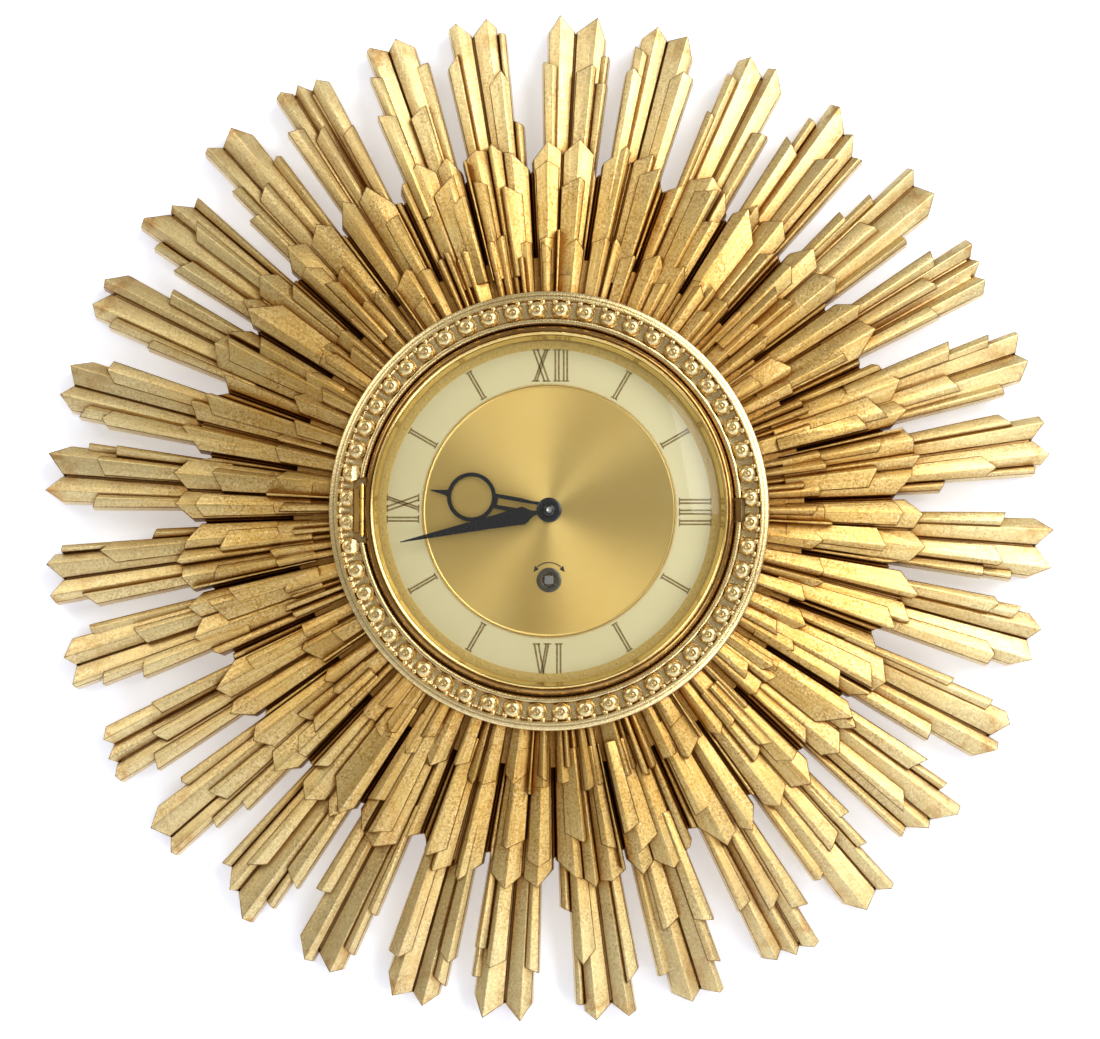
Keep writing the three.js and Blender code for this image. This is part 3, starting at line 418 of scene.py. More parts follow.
def silk_dial():
    """The cream-silver chapter ring: a satin lacquer with a soft pearly mottle."""
    s = Shader("dial_cream")
    cloud = s.noise(14, 3)
    grain = s.noise(900, 3, 0.6)
    tone = s.mix(0.25, cloud, grain)
    s.set(Base_Color=s.ramp(tone, (0.3, rgb(214, 203, 156)), (0.7, rgb(225, 216, 174))))
    s.set(Roughness=s.ramp(grain, (0.3, 0.5), (0.7, 0.4)))
    s.set(Metallic=0.1)
    s.set(Normal=s.bump(grain, 0.05, 0.0001))
    return s.material


def black_lacquer():
    """Blue-black lacquer with a faint dust."""
    s = Shader("hand_black_lacquer")
    dust = s.noise(420, 4)
    s.set(Base_Color=s.ramp(dust, (0.35, rgb(7, 8, 13)), (0.7, rgb(18, 21, 32))))
    s.set(Roughness=s.ramp(dust, (0.3, 0.36), (0.7, 0.24)))
    s.set(Coat_Weight=0.3, Coat_Roughness=0.15)
    s.set(Normal=s.bump(dust, 0.03, 0.0001))
    return s.material


def window_glass():
    """Clear glass, seen straight through, that still mirrors the room at its rim."""
    mirror_share = 0.35
    s = Shader("clear_glass")
    s.material.blend_method = "BLEND"
    clear = s.node("ShaderNodeBsdfTransparent", {"Color": (0.985, 0.99, 0.98, 1)})
    smear = s.noise(9, 3)
    mirror = s.node("ShaderNodeBsdfGlossy", {"Roughness": s.ramp(smear, (0.4, 0.02), (0.7, 0.05))})
    fresnel = s.node("ShaderNodeFresnel", {"IOR": 1.45})
    share = s.math("MULTIPLY", fresnel.outputs[0], mirror_share)
    both = s.node("ShaderNodeMixShader", {0: share, 1: clear.outputs[0], 2: mirror.outputs[0]})
    s.tree.links.new(both.outputs[0], s.tree.nodes["Material Output"].inputs["Surface"])
    s.tree.nodes.remove(s.surface)
    return s.material


def painted(name, light, dark, roughness, metallic=0.0):
    """Gold paint or printing ink, with a fine grain."""
    s = Shader(name)
    grain = s.noise(500, 4)
    s.set(Base_Color=s.ramp(grain, (0.35, dark), (0.7, light)))
    s.set(Roughness=s.ramp(grain, (0.3, roughness + 0.08), (0.7, roughness)))
    s.set(Metallic=metallic)
    s.set(Normal=s.bump(grain, 0.04, 0.0001))
    return s.material


GILT = gilt()
GILT_EDGE = gilt("gilt_edge", edge=True)
GILT_RING = gilt("gilt_ring", hollow_reach=0.0045, gloss=(0.34, 0.16), pale=0.42, relief=0.35)
BRASS = metal("polished_brass", rgb(232, 196, 112), rgb(196, 150, 70), (0.16, 0.3))
RIM_GOLD = metal("rim_gold", rgb(240, 216, 148), rgb(220, 188, 112), (0.12, 0.22), 240, 0.03)
BRONZE = metal("bezel_bronze", rgb(186, 148, 88), rgb(128, 92, 48), (0.14, 0.3))
GUNMETAL = metal("gunmetal", rgb(112, 108, 98), rgb(76, 72, 64), (0.3, 0.45), 200, 0.05)
CASE = metal("case_brass", rgb(206, 174, 104), rgb(186, 152, 86), (0.3, 0.42), 300, 0.06)
WORKS = metal("movement_brass", rgb(224, 188, 108), rgb(184, 142, 68), (0.2, 0.34), 300)
STEEL = metal("steel", rgb(206, 208, 210), rgb(150, 152, 156), (0.2, 0.34), 300)
BLUED = metal("blued_steel", rgb(58, 74, 120), rgb(34, 44, 78), (0.2, 0.3), 300)
CREAM = silk_dial()
BRUSHED = brushed_dial()
BLACK = black_lacquer()
GLASS = window_glass()
MARKER = painted("marker_gold", rgb(176, 154, 104), rgb(130, 110, 68), 0.35, 0.6)
BORDER = painted("border_gold", rgb(242, 212, 134), rgb(224, 190, 108), 0.3, 0.75)
INK = painted("printed_ink", rgb(44, 38, 26), rgb(28, 24, 16), 0.5)

# The slots of the looks on the sunburst.
LOOK_LEAF = 0
LOOK_EDGE = 1
LOOK_RING = 2

SLOT_LOOK = {
    "gilt_moulding": GILT,
    "case_brass": CASE,
    "bezel_bronze": BRONZE,
    "polished_brass": BRASS,
    "movement_brass": WORKS,
    "steel": STEEL,
    "blued_steel": BLUED,
    "dial_cream": CREAM,
    "dial_brushed": BRUSHED,
    "hand_black": BLACK,
    "clear_glass": GLASS,
}

# ---- The rays ----
# A bar is a long crystal with a ridge. It gives the clock angle within the sector of its left edge, its ridge
# and its right edge, then the radius where each of them ends, then how many steps it stands forward of its
# tier. Each tier has eight designs, one for each ray of a quarter.
OUTER = [
    [(2.7, 4.1, 6.0, 270, 280, 271, 0), (2.0, 3.3, 4.0, 253, 251, 250, 1),
     (6.0, 8.4, 9.7, 271, 280, 268, 0), (6.2, 8.3, 9.0, 247, 252, 250, 1),
     (9.1, 9.9, 10.4, 258, 258, 258, 0), (8.9, 10.0, 10.6, 242, 242, 242, 1)],
    [(2.45, 4.1, 5.6, 272, 280, 274, 0), (1.85, 3.0, 3.75, 266.5, 264, 262, 1),
     (1.35, 2.3, 3.75, 250, 253, 248, 2), (5.5, 7.7, 9.0, 274, 279, 268, 0),
     (6.9, 8.4, 9.9, 252, 258, 256, 1), (8.6, 9.2, 9.75, 245, 245, 244, 0)],
    [(2.7, 4.0, 6.2, 276, 280, 273, 0), (2.1, 3.0, 3.8, 266, 265, 264, 1),
     (1.5, 2.4, 3.1, 241, 240, 239, 2), (6.2, 7.2, 9.1, 279, 280, 270, 0),
     (8.1, 9.5, 10.4, 241, 242.5, 243, 1)],
    [(3.25, 4.4, 6.75, 279, 280, 270, 0), (2.0, 2.7, 3.4, 265.5, 265, 264, 0),
     (0.95, 2.2, 3.7, 249, 246, 243, 1), (6.7, 7.6, 9.3, 270, 272, 262, 0),
     (5.8, 7.4, 8.2, 248, 253, 255, 1), (9.1, 9.9, 10.5, 262, 263, 264, 0)],
    [(3.45, 4.2, 5.6, 279, 280, 275, 0), (5.5, 7.8, 9.4, 275, 280, 270, 0),
     (2.5, 3.2, 4.0, 252, 251, 250, 1), (1.35, 2.6, 4.1, 233, 232, 231, 1),
     (4.2, 6.2, 7.0, 237, 241, 242, 1), (8.9, 9.9, 10.6, 249, 251, 250, 0)],
    [(2.75, 3.7, 4.9, 279, 280, 276, 0), (4.8, 5.8, 7.2, 275, 279, 272, -1),
     (6.9, 8.0, 9.4, 272, 276, 272, 0), (1.5, 2.8, 3.75, 258, 256, 255, 1),
     (3.9, 5.4, 6.2, 245, 249, 250, 1), (7.4, 8.9, 9.6, 240, 242, 243, 1)],
    [(3.4, 4.0, 6.0, 279, 280, 275, 0), (5.9, 7.2, 9.2, 275, 280, 273, 0),
     (2.6, 3.5, 4.3, 264, 262, 261, 1), (1.5, 2.9, 4.2, 241, 239, 237, 2),
     (5.6, 7.6, 8.5, 233, 237, 238, 1), (8.2, 9.5, 10.3, 260.5, 261.5, 262, 0)],
    [(2.2, 3.2, 4.9, 278, 280, 272, 0), (1.05, 2.45, 2.9, 255, 260.5, 262, 1),
     (4.9, 6.8, 8.0, 272, 280, 275, 0), (7.9, 8.4, 9.0, 271, 271, 270.5, 0),
     (5.9, 7.8, 9.0, 241, 249, 242, 1), (8.8, 9.6, 10.45, 220, 218.5, 217, 0)],
]
MIDDLE = [
    [(0.1, 2.6, 5.0, 196, 206, 201, 0), (0.4, 2.5, 4.7, 190, 194.5, 191, 1),
     (5.0, 7.5, 10.2, 200, 208, 200, 0), (4.8, 8.1, 9.2, 180, 186, 184, 1),
     (9.9, 10.5, 11.0, 196, 190, 186, -1)],
    [(0.2, 3.55, 4.4, 196, 208, 205, 0), (4.9, 7.7, 8.3, 201, 207, 203, 0),
     (6.3, 9.4, 10.0, 193, 200, 197, 1), (9.8, 10.4, 11.0, 194, 191, 189, -1),
     (4.2, 4.6, 5.0, 199, 199, 199, -2)],
    [(0.1, 2.0, 2.9, 190, 194, 195, 0), (2.7, 6.2, 8.5, 200, 207, 203, 0),
     (4.4, 7.3, 8.2, 195, 200, 202, 1), (8.4, 9.0, 10.9, 202, 202, 193, 0),
     (7.2, 9.6, 11.0, 181, 184, 186, 1)],
    [(0.3, 2.2, 6.4, 194, 201, 186, 1), (1.8, 3.1, 4.9, 201, 206, 199, 0),
     (4.9, 7.6, 9.9, 200, 207, 200, 0), (7.8, 9.6, 10.3, 184, 188, 190, 1),
     (9.8, 10.5, 11.1, 190, 190, 190, -1)],
    [(0.3, 2.6, 5.4, 196, 207, 201, 0), (0.5, 2.2, 4.5, 189, 190.5, 184, 1),
     (2.4, 4.0, 5.0, 176, 173, 171, 2), (4.4, 6.4, 7.4, 173, 176.5, 177, 1),
     (5.3, 8.4, 10.4, 198, 205, 199, 0), (10.2, 10.6, 11.1, 192, 191, 190, -1)],
    [(0.1, 2.5, 4.2, 196, 207, 202, 0), (4.4, 6.9, 9.9, 202, 207, 191, 0),
     (6.3, 8.2, 9.5, 183, 184, 184.5, 1), (9.6, 10.4, 11.0, 191, 190.5, 190, -1),
     (4.0, 4.3, 4.6, 199, 199, 199, -2)],
    [(0.1, 0.9, 1.9, 196, 199, 200, 0), (1.8, 4.3, 7.0, 201, 207, 199, 0),
     (6.8, 9.0, 10.9, 200, 205, 195, 0), (4.8, 8.2, 9.5, 186, 192, 194, 1),
     (7.2, 9.6, 10.6, 177, 180, 181, 2)],
    [(0.1, 0.4, 0.8, 200, 200, 199, 1), (0.3, 2.4, 4.5, 201, 205, 204, 0),
     (0.6, 2.3, 3.5, 188, 186, 184, 1), (4.3, 5.0, 6.8, 204, 207, 202, 0),
     (6.6, 8.0, 10.9, 202, 200.5, 191, 0), (5.4, 6.2, 9.5, 181, 182, 176, 1)],
]
INNER = [
    [(0.9, 2.2, 3.6, 148, 146, 144, 1), (0.5, 2.0, 4.7, 150, 151, 151, 0),
     (4.3, 4.85, 5.3, 155, 155, 155, 1), (4.8, 8.5, 10.7, 143, 151, 145, 0)],
    [(0.4, 3.35, 4.7, 150, 154, 152, 0), (4.6, 5.4, 7.1, 152, 155, 151, 0),
     (6.9, 9.9, 10.7, 144, 148, 147, 1)],
    [(0.5, 3.5, 5.6, 147, 154, 148, 0), (5.5, 9.1, 10.8, 148, 154, 148, 0),
     (4.8, 7.0, 8.3, 138, 140, 142, 1)],
    [(0.5, 2.4, 3.9, 150, 151, 152, 0), (1.5, 2.9, 5.1, 147, 149, 145, 1),
     (3.6, 5.4, 6.6, 154, 152, 151, 0), (5.1, 7.6, 8.9, 137, 140, 141, 1),
     (6.4, 9.4, 10.8, 149, 151, 148, 0)],
    [(0.4, 1.3, 2.6, 150, 152, 151, 0), (2.5, 5.9, 7.1, 149, 154, 152, 0),
     (7.0, 9.0, 10.8, 150, 154, 149, 0)],
    [(0.7, 1.2, 1.7, 148, 148.5, 148, 1), (0.5, 5.6, 6.9, 147, 155, 152, 0),
     (1.9, 5.0, 6.2, 133, 135, 136, 1), (6.8, 8.4, 10.6, 149, 150, 149, 0)],
    [(0.5, 1.5, 2.8, 150, 151, 151, 0), (2.5, 3.5, 4.3, 154, 153, 152, 1),
     (4.2, 5.2, 6.2, 146, 148, 148, -1), (5.9, 6.8, 10.6, 150, 151, 146, 0)],
    [(0.5, 1.7, 2.8, 151, 152, 152, 0), (2.5, 4.0, 5.2, 152, 154, 154, 0),
     (5.0, 6.2, 7.2, 148, 149, 149, -1), (6.9, 7.9, 8.7, 140, 140.5, 140, 1),
     (7.0, 9.2, 10.7, 148, 149, 148, 0)],
]


def back_depth(radius):
    """The depth of the rays' underside."""
    return 4 + (TIP_R - radius) * DISH


# Each tier: its bars, the radius where they start, the depth of its ridges at a radius, the step between bars
# that lie on one another, how far a facet may fall from ridge to edge, and the depth of its underside.
TIERS = [
    (OUTER, 176, lambda r: 17 + (TIP_R - r) * DISH, 2.6, 3.8, lambda r: back_depth(r) - 0.4),
    (MIDDLE, 130, lambda r: 30.5 + (205 - r) * DISH, 2.4, 3.8, lambda r: back_depth(r) + 2.5),
    (INNER, 116, lambda r: 39.4 + (153 - r) * 0.06, 1.8, 3.0, lambda r: back_depth(r) + 3),
]
STEEPEST = 0.62  # the steepest facet, as fall over width
EDGE_WIDTH = 0.45  # the rounding along a bar's edges, where the gilding wears
GROOVE = 0.6  # how far the top of a bar stands back from its edge, half the groove between two bars
DRAFT = 0.35  # how far the foot of a bar spreads past its edge
UNEVEN = 0.3  # how far a bar may stand above or below its design
TOUCH = 0.35  # two bars closer than this, in degrees, share a groove
FLOOR_DROP = 1.7  # how far a groove's floor lies under the edges beside it
FLOOR_FALL = 0.1
RIB = (10.85, 11.25, 11.65, 189, 190, 189, 0)  # the thin rib at the bottom of the groove between two rays
RIB_START = 140
RIB_FALL = 1.5


def rib_ridge(radius):
    return 25.5 + (WEB_R - radius) * DISH


def rib_under(radius):
    return back_depth(radius) + 1


def bar(design, start, pitch, inner_r, ridge_depth, step, fall, under):
    """One crystal: two facets that meet in a ridge, blunt ends and sides with a little draft."""
    left, ridge, right, left_end, ridge_end, right_end, level = design
    jitter = random.uniform
    lift = level * step + jitter(-UNEVEN, UNEVEN)

    def turn(angle):
        return start + angle / SECTOR * pitch

    def drop(edge):
        width = math.radians(abs(ridge - edge) / SECTOR * pitch) * ridge_end
        allowed = fall * jitter(0.75, 1.1) * (0.75 if level > 0 else 1)
        return min(STEEPEST * width, allowed) / ridge_end

    bm = bmesh.new()
    rows = []
    for side, (angle, end) in enumerate(((left, left_end), (ridge, ridge_end), (right, right_end))):
        slope = 0 if side == 1 else drop(angle)
        inset = min(GROOVE, 0.3 * math.radians(abs(angle - ridge)) * end) * (1 - side)
        top = []
        foot = []
        for radius, out in ((inner_r, 0), (end, DRAFT)):
            depth = ridge_depth(radius) + lift - slope * radius
            top.append(bm.verts.new(place(turn(angle) + math.degrees(inset / radius), radius, depth)))
            spread = math.degrees(DRAFT / radius) * (side - 1)
            foot.append(bm.verts.new(place(turn(angle) + spread, radius + out, under(radius))))
        rows.append((top, foot))
    (lt, lf), (rt, rf), (gt, gf) = rows
    bm.faces.new([lt[0], rt[0], rt[1], lt[1]])
    bm.faces.new([rt[0], gt[0], gt[1], rt[1]])
    bm.faces.new([lf[0], lf[1], rf[1], rf[0]])
    bm.faces.new([rf[0], rf[1], gf[1], gf[0]])
    bm.faces.new([lt[0], lt[1], lf[1], lf[0]])
    bm.faces.new([gt[0], gf[0], gf[1], gt[1]])
    bm.faces.new([lt[1], rt[1], rf[1], lf[1]])
    bm.faces.new([rt[1], gt[1], gf[1], rf[1]])
    bm.faces.new([lt[0], lf[0], rf[0], rt[0]])
    bm.faces.new([rt[0], rf[0], gf[0], gt[0]])
    tops = set(lt + rt + gt)
    chosen = [e for e in bm.edges if e.verts[0] in tops and e.verts[1] in tops]
    # Bevels off the ridge take the edge look: brown wear and painted outlines of shade.
    for face in bevel(bm, chosen, EDGE_WIDTH, 2):
        middle = face.calc_center_median()
        radius = math.hypot(middle.x, middle.z) / MM
        off = math.degrees(math.atan2(middle.x, middle.z)) - turn(ridge)
        aside = abs(math.radians((off + 180) % 360 - 180)) * radius
        on_ridge = aside < EDGE_WIDTH and radius < ridge_end - 1
        face.material_index = LOOK_LEAF if on_ridge else LOOK_EDGE
    return bm


def groove_floors(designs):
    """Low flat bars under the joint of two neighbours, so that the groove between them has a floor."""
    floors = []
    for a in designs:
        for b in designs:
            touching = abs(a[2] - b[0]) < TOUCH and a[6] < 1 and b[6] < 1
            if touching:
                end = min(a[5], b[3]) - 1.5
                floors.append((a[1] + 0.15, a[2], b[1] - 0.15, end, end, end, 0))
    return floors


def all_bars():
    """Every bar of the 32 rays, with the floors and ribs of the grooves."""
    made = []
    for quadrant, start in enumerate(QUADRANT_START):
        following = QUADRANT_START[quadrant + 1] if quadrant < 3 else QUADRANT_START[0] + 360
        pitch = (following - start) / RAYS_PER_QUADRANT
        for k in range(RAYS_PER_QUADRANT):
            sector = start + k * pitch
            for designs, inner_r, ridge_depth, step, fall, under in TIERS:
                for design in designs[k]:
                    made.append(bar(design, sector, pitch, inner_r, ridge_depth, step, fall, under))

                def floor_depth(r, ridge_depth=ridge_depth, fall=fall):
                    return ridge_depth(r) - fall - FLOOR_DROP

                for design in groove_floors(designs[k]):
                    made.append(bar(design, sector, pitch, inner_r, floor_depth, 0, FLOOR_FALL, under))
            made.append(bar(RIB, sector, pitch, RIB_START, rib_ridge, 0, RIB_FALL, rib_under))
    return made


# ---- The beaded ring ----
# Sections are pairs of radius and depth.
RING_SECTION = [
    (HOLE_R, 0), (HOLE_R, 38.5), (101.3, 38.5), (101.35, 42), (101.6, 43.1), (102.2, 43.9), (103.2, 44.4),
    (104.2, 44.5), (104.8, 44.2), (105.2, 43.3), (105.9, 42.8), (113.6, 42.8), (114.4, 43.3), (114.9, 44.6),
    (115.2, 45.6), (115.6, 46), (116.7, 46), (117.1, 45.8), (117.35, 45.2), (117.6, 45.1), (117.9, 45.35),
    (119.2, 45.1), (119.8, 44.7), (120.2, 43.8), (120.6, 41), (121, 23), (108, 23), (106, 0),
]
BEAD_SECTION = [
    (0, 46.5), (0.5, 46.45), (1.0, 46.3), (1.35, 46.75), (1.7, 47.2), (2.1, 47.2), (2.9, 46.9), (3.8, 46.2),
    (4.6, 45.2), (5.2, 43.9), (5.4, 42.7), (5.4, 41.5), (0, 41.5),
]
SCALLOP_SECTION = [(0, 45.5), (0.9, 45.3), (1.6, 44.7), (2.05, 43.8), (2.15, 42), (0, 42)]


def ring_beads():
    """The row of dimpled beads, with two small scallops between each pair along the lip."""
    made = []
    pitch = 360 / BEAD_COUNT
    for i in range(BEAD_COUNT):
        angle = (i + 0.5) * pitch
        made.append(lathe_at(BEAD_SECTION, 20, angle, BEAD_ROW_R))
        for share in (0.25, 0.75):
            made.append(lathe_at(SCALLOP_SECTION, 12, angle + share * pitch, SCALLOP_ROW_R))
    return made


def rounded_block(x0, x1, z0, z1, near, far, corner):
    """A block from one depth to another, with the four corners of its outline rounded."""
    outline = []
    for cx, cz, first in ((x1 - corner, z1 - corner, 0), (x0 + corner, z1 - corner, 90),
                          (x0 + corner, z0 + corner, 180), (x1 - corner, z0 + corner, 270)):
        for k in range(7):
            turn = math.radians(first + 15 * k)
            outline.append((cx + corner * math.cos(turn), cz + corner * math.sin(turn)))
    return prism(outline, near, far)


def web():
    """The shallow dish behind the rays that holds them together."""
    return lathe(
        [
            (WEB_INNER_R, back_depth(WEB_INNER_R)),
            (WEB_INNER_R, 36),
            (140, 34),
            (140, back_depth(140) + 5),
            (WEB_R - 1, back_depth(WEB_R) + 5),
            (WEB_R, back_depth(WEB_R) + 4),
            (WEB_R, back_depth(WEB_R)),
        ],
        256,
    )


def screw_hole(radius, low, high, centre):
    """A plain hole from one depth to another."""
    return lathe([(0, low), (radius, low), (radius, high), (0, high)], 16, centre, closed=False)


def sunburst_cuts():
    """What is cut out of the moulding for the case, the bezel, the hinge and the hanger."""
    bore = lathe([(0, -1), (HOLE_R, -1), (HOLE_R, 60), (0, 60)], 208, closed=False)
    hinge_recess = rounded_block(-107, -90, -18, 18, 39.6, 60, 6)
    # The rim of the open bezel swings over the beads beside the hinge.
    swing = [
        slab([(-90, 44.6), (-106, 44.6), (-110.6, 48.2), (-110.6, 60), (-90, 60)], -13, 13),
        slab([(-90, 45.3), (-105, 45.3), (-107.2, 46), (-108.8, 47.6), (-108.8, 60), (-90, 60)], -26, 26),
    ]
    tab_notch = rounded_block(95, 107, -6.7, 6.7, 39.6, 60, 1.2)
    hanger_seat = rounded_block(-16.3, 16.3, 99.3, 117.7, -1, 2.5, 0.4)
    nail_room = rounded_block(-8.5, 8.5, 101, 116.2, -1, 9, 3)
    holes = []
    for angle in (60, 180, 300):
        centre = place(angle, 99.6, 0)
        holes.append(screw_hole(0.9, 31, 39, (centre.x / MM, centre.z / MM)))
    for side in (-1, 1):
        holes.append(screw_hole(1.3, -1, 8, (side * 12.6, 108.5)))
        holes.append(screw_hole(0.8, 34, 40, (-104.8, side * 9.5)))
    return [bore, hinge_recess, *swing, tab_notch, hanger_seat, nail_room, *holes]


def sunburst():
    """The whole gilded moulding: rays, web and beaded ring in one piece, as it is cast."""
    looks = [GILT, GILT_EDGE, GILT_RING]
    ring = make_object("sunburst_moulding", lathe(RING_SECTION, 312))
    for look in looks:
        ring.data.materials.append(look)
    hanger_pad = rounded_block(-21, 21, 99, 119.4, 0, 23, 2)
    carve(ring, [web(), hanger_pad, *ring_beads(), *all_bars()], sunburst_cuts())
    for face in ring.data.polygons:
        across = math.hypot(face.center.x, face.center.z)
        face.use_smooth = HOLE_R * MM + 1e-4 < across < LIP_R * MM and face.center.y < -30 * MM
        if face.use_smooth:
            face.material_index = LOOK_RING
    ring.data.set_sharp_from_angle(angle=math.radians(35))
    return finish_piece(ring, looks, "body", "gilt_moulding", "sunburst_body")


# ---- Bezel, glass and sight ring ----
def bezel():
    """The turned bezel, with a notch for the leaf of its hinge."""
    section = [
        (97.5, 41.2), (100.9, 41.2), (100.9, 44.4), (100.7, 45.6), (100.1, 46.8), (99.3, 47.6), (98.5, 48),
        (97.95, 47.9), (97.75, 47.4), (97.6, 47.6), (97.45, 48.5), (97.1, 49.2), (96.6, 49.6), (96.0, 49.4),
        (95.6, 48.8), (95.6, 47.9), (97.5, 47.9),
    ]
    ring = make_object("bezel_turned", lathe(section, 256))
    notch = rounded_block(-106, -100, -15, 15, 41, 46, 0.4)
    carve(ring, [], [notch])
    shade(ring, 40)
    finish_piece(ring, [BRONZE, RIM_GOLD], "bezel", "bezel_bronze", "bezel_ring")
    # The crest takes the pale gold, a painted highlight, and the outer slope takes the darker bronze, a painted
    # dark reflection.
    for face in ring.data.polygons:
        across = math.hypot(face.center.x, face.center.z)
        face.material_index = 1 if across < RIM_R * MM else 0
    return ring


def glass():
    """The domed glass, part of a sphere with a flat flange."""
    edge_r = 95.2
    edge_depth = 47.6
    crown_depth = 58
    thick = 1.5
    flange_r = 97.1
    steps = 20
    rise = crown_depth - edge_depth
    sphere = (edge_r**2 + rise**2) / (2 * rise)
    radii = [edge_r * k / steps for k in range(steps + 1)]

    def front(radius):
        return crown_depth - sphere + math.sqrt(sphere**2 - radius**2)

    section = [(r, front(r)) for r in radii]
    section += [(flange_r, edge_depth), (flange_r, edge_depth - thick)]
    section += [(r, front(r) - thick) for r in reversed(radii)]
    dome = make_object("glass_dome", lathe(section, 128, closed=False))
    shade(dome, 30)
    return finish_piece(dome, GLASS, "bezel", "clear_glass", "glass")


def sight_ring():
    """The ring that holds the glass and hides the dial's edge."""
    section = [
        (93.8, 41.4), (97.1, 41.4), (97.1, 45.8), (95.6, 45.8), (95.2, 45.2), (94.8, 44), (94.3, 42.6), (93.8, 42),
    ]
    ring = make_object("sight_ring_turned", lathe(section, 256))
    shade(ring, 40)
    return finish_piece(ring, RIM_GOLD, "bezel", "bezel_bronze", "sight_ring")


def thumb_tab():
    """The little sheet-brass lip that opens the bezel: a foot, a riser and a rolled thumb edge."""
    outline = [
        (98, 40.2), (102, 40.2), (102, 44.5), (102.3, 44.85), (104.2, 44.85), (104.8, 45.2), (104.8, 45.7),
        (104.2, 45.6), (102.0, 45.6), (101.3, 45.2), (101.3, 40.9), (98, 40.9),
    ]
    tab = make_object("thumb_tab", soften(slab(outline, -5.9, 5.9), 0.12, 2))
    return finish_piece(tab, BRONZE, "bezel", "bezel_bronze", "bezel_tab")


# ---- Dial ----
STROKE_HEIGHT = 0.22
STROKE_WIDTH = 0.95
SERIF_WIDTH = 0.75
LETTER_HALF = 3  # half the width of an X or a V
LETTER_SERIF = 2.1  # half the width of a serif
WIDE_GAP = 2.2  # between the two lines of a broad stroke
MIDDLE_GAP = 1.9
THIN_GAP = 1.2


def sideways(x0, z0, x1, z1, offset):
    """The step that moves a line to one side by the offset."""
    length = math.hypot(x1 - x0, z1 - z0)
    return -(z1 - z0) / length * offset, (x1 - x0) / length * offset


def stroke(x0, z0, x1, z1, width, depth):
    """A thin raised line from one point to another."""
    px, pz = sideways(x0, z0, x1, z1, width / 2)
    outline = [(x0 + px, z0 + pz), (x0 - px, z0 - pz), (x1 - px, z1 - pz), (x1 + px, z1 + pz)]
    return soften(prism(outline, depth, depth + STROKE_HEIGHT), 0.08, 1)


def double_stroke(x0, z0, x1, z1, gap, depth):
    """Two parallel raised lines, as the numerals are embossed."""
    px, pz = sideways(x0, z0, x1, z1, gap / 2)
    return [
        stroke(x0 + px, z0 + pz, x1 + px, z1 + pz, STROKE_WIDTH, depth),
        stroke(x0 - px, z0 - pz, x1 - px, z1 - pz, STROKE_WIDTH, depth),
    ]


def serif(x, z, half, depth):
    """A short level line across the end of a stroke."""
    return [stroke(x - half, z, x + half, z, SERIF_WIDTH, depth)]


def numeral(letters, depth):
    """Upright letters of a Roman numeral, each given with the x of its middle."""
    low = NUMERAL_LOW
    high = NUMERAL_HIGH
    made = []
    for letter, mid in letters:
        left = mid - LETTER_HALF
        right = mid + LETTER_HALF
        if letter == "I":
            made += double_stroke(mid, low, mid, high, MIDDLE_GAP, depth)
            ends = [(mid, low), (mid, high)]
        elif letter == "X":
            made += double_stroke(left, high, right, low, WIDE_GAP, depth)
            made += double_stroke(right, high, left, low, THIN_GAP, depth)
            ends = [(left, low), (left, high), (right, low), (right, high)]
        else:
            made += double_stroke(left, high, mid, low + 0.6, WIDE_GAP, depth)
            made += double_stroke(right, high, mid, low + 0.6, THIN_GAP, depth)
            ends = [(left, high), (right, high)]
        for x, z in ends:
            made += serif(x, z, LETTER_SERIF, depth)
    return made


def turned_to(meshes, angle, upside_down=False):
    """Turns meshes drawn at twelve o'clock to a clock angle."""
    turn = math.radians(angle)
    for bm in meshes:
        for v in bm.verts:
            x, z = v.co.x, v.co.z
            if upside_down:
                x, z = -x, 2 * NUMERAL_TURN_R * MM - z
            v.co.x = x * math.cos(turn) + z * math.sin(turn)
            v.co.z = z * math.cos(turn) - x * math.sin(turn)
    return meshes


def dial_markers():
    """The four numerals and the eight batons, embossed on the chapter ring."""
    depth = DIAL_FRONT - 0.05
    made = turned_to(numeral([("X", -4.4), ("I", 4.4), ("I", 9.0)], depth), 0)
    made += turned_to(numeral([("I", -5.1), ("I", 0.7), ("I", 6.5)], depth), 90)
    made += turned_to(numeral([("V", -3.9), ("I", 5.3)], depth), 180, upside_down=True)
    made += turned_to(numeral([("I", -4.6), ("X", 4.2)], depth), 270)
    for hour in range(12):
        if hour % 3 == 0:
            continue
        baton = double_stroke(0, 71.6, 0, 87.8, 1.6, depth)
        baton += serif(0, 71.4, 1.9, depth) + serif(0, 88, 1.9, depth)
        made += turned_to(baton, 30 * hour)
    numerals = merge("dial_numerals", made)
    return finish_piece(numerals, MARKER, "body", "dial_brushed")


def dial_border():
    """The gold border of the dial with its sixty minute dots."""
    border = lathe([(88.8, 37.5), (88.9, 37.72), (89.2, 37.78), (94.4, 37.9), (94.4, 37.5)], 192)
    dot = [(0, 38.3), (0.35, 38.2), (0.6, 37.9), (0.6, 37.6), (0, 37.6)]
    dots = [lathe_at(dot, 10, 6 * minute, 91.2) for minute in range(60)]
    ring = merge("dial_border", [border, *dots])
    shade(ring, 50)
    return finish_piece(ring, BORDER, "body", "dial_cream")


